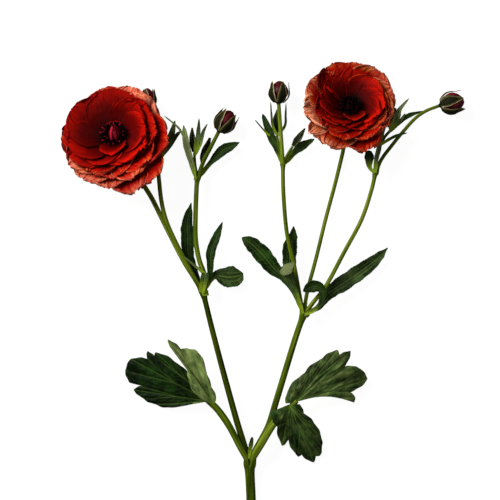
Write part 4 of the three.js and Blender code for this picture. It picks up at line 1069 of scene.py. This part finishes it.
def build_calyx(side, bloom):
    """Cup behind a bloom, with five small sepals folded back from it."""
    place = bloom_frame(bloom)
    form = Form()
    draw = seeded(bloom["seed"] + 80)
    cup = [(0.01, -3.4), (1.5, -3.35), (2.2, -3.2), (2.6, -2.4), (2.6, -1.8), (0.01, -1.8)]
    lathe(form, cup, 24, place, 0.3)
    ring = (-2.6, 94, 0.2, 0, 0, 0)
    for k in range(5):
        t, v, grid, margin = petal_grid(ring, (40 + 72 * k, 10.5, 3.6, 114, 0), draw, 20, 16, root=1)
        grid = settle(moved(grid, place), 0.5 * LEAF_THICKNESS)
        sheet(form, grid, LEAF_THICKNESS, (t, v, k / 5), margin)
    make(f"calyx_{side}_fine", form, SMALL_BUD, "leaf", f"calyx_{side}")


# ---------------------------------------------------------------- buds
def bud_frame(bud):
    """Frame at the foot of a bud, with its axis along the bud."""
    heading, rise = (math.radians(a) for a in bud["aim"])
    axis = Vector((math.cos(heading) * math.cos(rise), math.sin(heading) * math.cos(rise), math.sin(rise)))
    swing = Vector((0, 0, 1)).rotation_difference(axis).to_matrix().to_4x4()
    spin = Matrix.Rotation(math.radians(bud["turn"]), 4, "Z")
    return Matrix.Translation(bud["base"]) @ swing @ spin


def bud_radius(t):
    """Radius of a bud at height t along it, as a share of its widest."""
    return np.sin(math.pi * np.minimum(0.1 + 0.87 * t, 1)) ** 0.6


def sepal_radius(t):
    """The same for its sepals, which stand off the petals towards their tips."""
    return mix(bud_radius(t), 1, 0.8 * step(0.4, 1, t))


def build_bud_petals(name, bud, draw):
    """Core of a bud, and six petals that wrap round it, each over the next."""
    place = bud_frame(bud)
    form = Form()
    inner = [(max(bud["radius"] * bud_radius(t) - SEPAL_ROOM - SEAT - 0.45, 0.05),
              BUD_FOOT + (bud["height"] - BUD_FOOT) * t * 0.97) for t in np.linspace(0.02, 0.98, 18)]
    lathe(form, inner, 28, place, 0.5)
    t = np.linspace(0.03, 0.99, 26)[:, None]
    v = np.linspace(-1, 1, 22)[None, :]
    for k in range(6):
        middle = math.radians(60 * k + 12 * draw())
        shell = bud["radius"] * bud_radius(t) - SEPAL_ROOM - SEAT - 0.34
        lift = 0.3 * v + 0.12 * (k % 2) - 0.05
        spread = math.radians(46) * np.sqrt(np.clip(1 - np.clip(t - 0.6, 0, 1) ** 2 * 3.5, 0.08, 1))
        radius = np.maximum(shell + lift * step(0, 0.3, 1 - t), 0.08)
        angle = middle + v * spread + 0.35 * t
        height = BUD_FOOT + (bud["height"] - BUD_FOOT) * (t + 0.015 * waves(v * 4, 2.2, draw) * t)
        height = np.minimum(height - 0.05 * v**2 * t * bud["height"], bud["height"])
        grid = around(radius, angle, height)
        margin = np.minimum((1 - t) * bud["height"], (1 - np.abs(v)) * 3.5)
        grid, side, margin = (values[:, ::-1] for values in (grid, v, margin))
        sheet(form, moved(grid, place), BUD_PETAL_THICKNESS, (t, side, k / 6), margin)
    make(f"bud_petals_{name}_fine", form, BUD_PETAL, "bud_petal", f"bud_petals_{name}")


def build_bud_sepals(name, bud, draw):
    """Cup of a bud, and five sepals that stand round its petals."""
    place = bud_frame(bud)
    form = Form()
    rim = CUP_RIM * bud["radius"]
    cup = [(0.01, -0.8), (0.95, -0.8), (1.1, -0.3), (1.6, 0.1), (0.9 * rim, 0.5), (rim, 1.1), (0.01, 1.3)]
    lathe(form, cup, 24, place, 0.3)
    t = np.linspace(0, 1, 30)[:, None]
    v = np.linspace(1, -1, 20)[None, :]
    for k in range(5):
        middle = math.radians(72 * k)
        lift = 0.35 + 0.12 * (k % 2)
        radius = np.maximum(bud["radius"] * sepal_radius(t) - SEPAL_ROOM + lift, 1.2) + 0.1 * np.abs(v) ** 3
        wide = mix(35, 17 * bud["gape"], t)
        spread = np.radians(wide) * np.sqrt(np.maximum(1 - t**5, 0.03)) * (1 + 0.04 * waves(t * 10, 3, draw))
        radius = radius + 0.12 * waves(t * 10 + v, 4, draw) * t - 0.12 * np.exp(-((v / 0.12) ** 2))
        height = mix(0.5, bud["height"] * 0.98, t) - 0.5 * v**2 * t
        grid = around(radius, middle + v * spread, height)
        margin = np.minimum((1 - t) * bud["height"], radius * spread * (1 - np.abs(v)))
        sheet(form, moved(grid, place), SEPAL_THICKNESS, (t, v, k / 5), margin)
    make(f"bud_sepals_{name}_fine", form, SEPAL, "sepal", f"bud_sepals_{name}")


def build_small_bud(name, path, width, seed):
    """Tight green bud: a slim body with three scales that wrap it and meet in a point."""
    draw = seeded(seed)
    form = Form()
    tube(form, path, [0.8 * w for w in width], 26, 18, 0.2)
    t, at, side, up = stations(path, 30)
    v = np.linspace(1, -1, 14)
    radius = along(width, t) / 2
    for k in range(3):
        middle = 2.1 * k + 0.3 * draw()
        spread = 1.15 * (1 - 0.75 * t**2)[:, None]
        angle = middle + v[None, :] * spread + 0.5 * t[:, None]
        r = (radius * mix(0.95, 0.9, t))[:, None] + 0.12 * v[None, :] * (1 - t)[:, None] + 0.02 * k
        grid = across(at, side, up, r * np.cos(angle), r * np.sin(angle))
        margin = np.minimum(np.abs(r * spread * (1 - np.abs(v)[None, :])), ((1 - t) * 12)[:, None])
        sheet(form, grid, BUD_PETAL_THICKNESS, (t[:, None], v[None, :], k / 3), margin)
    make(name + "_fine", form, SMALL_BUD, "bud_green", name)


# ---------------------------------------------------------------- camera, table and light
def build_camera():
    """Looks straight down on the stem through a long lens."""
    lens = bpy.data.cameras.new("camera")
    lens.sensor_width = 36
    lens.lens = 200
    lens.clip_end = 10
    camera = bpy.data.objects.new("camera", lens)
    view_width = 280
    focus_height = 8
    distance = focus_height + view_width * lens.lens / lens.sensor_width
    camera.location = (-7.6 * MM, 42.6 * MM, distance * MM)
    bpy.context.scene.collection.objects.link(camera)
    bpy.context.scene.camera = camera


def build_light(name, size, energy, place, aim, tint=(1, 1, 1)):
    lamp = bpy.data.lights.new(name, "AREA")
    lamp.shape = "DISK"
    lamp.size = size
    lamp.energy = energy
    lamp.color = tint
    light = bpy.data.objects.new(name, lamp)
    light.location = place
    light.rotation_euler = (Vector(aim) - Vector(place)).to_track_quat("-Z", "Y").to_euler()
    bpy.context.scene.collection.objects.link(light)


def build_table():
    """White ground that the stem lies on, so bright that it takes only a faint shadow."""
    f = Finish("table paper", Roughness=0.9, Specular_IOR_Level=0.1,
               Emission_Color=(1, 1, 1, 1), Emission_Strength=0.94)
    grain = f.noise(f.place(), 400, 2.0, 0.5)
    f.wear(f.blend(paint("#5c5c5a"), paint("#626260"), grain))
    reach = 3.0
    mesh = bpy.data.meshes.new("table")
    mesh.from_pydata([(-reach, -reach, 0), (reach, -reach, 0), (reach, reach, 0), (-reach, reach, 0)], [],
                     [(0, 1, 2, 3)])
    mesh.materials.append(f.material)
    table = bpy.data.objects.new("table", mesh)
    table.visible_diffuse = False
    table.visible_glossy = False
    bpy.context.scene.collection.objects.link(table)


def build_studio():
    build_table()
    world = bpy.data.worlds.new("studio")
    world.use_nodes = True
    world.node_tree.nodes["Background"].inputs[0].default_value = (1, 1, 1, 1)
    world.node_tree.nodes["Background"].inputs[1].default_value = 0.2
    bpy.context.scene.world = world
    aim = (0, 0.05, 0)
    build_light("key light", 0.8, 33, (-0.86, 0.72, 0.78), aim, (1, 0.98, 0.95))
    build_light("fill light", 1.2, 4, (0.9, -0.5, 1.1), aim)
    bpy.context.scene.view_settings.view_transform = "Standard"


# ---------------------------------------------------------------- the whole
build_camera()
build_stem()
build_leaves()
for side, bloom in BLOOMS.items():
    build_petals(side, bloom, PETAL_LEFT if side == "left" else PETAL_RIGHT)
    build_eye(side, bloom)
    build_calyx(side, bloom)
for k, (name, bud) in enumerate(BUDS.items()):
    bud_draw = seeded(301 + k)
    build_bud_petals(name, bud, bud_draw)
    build_bud_sepals(name, bud, bud_draw)
for k, (name, (path, width)) in enumerate(SMALL_BUDS.items()):
    build_small_bud(name, path, width, 401 + k)
build_studio()
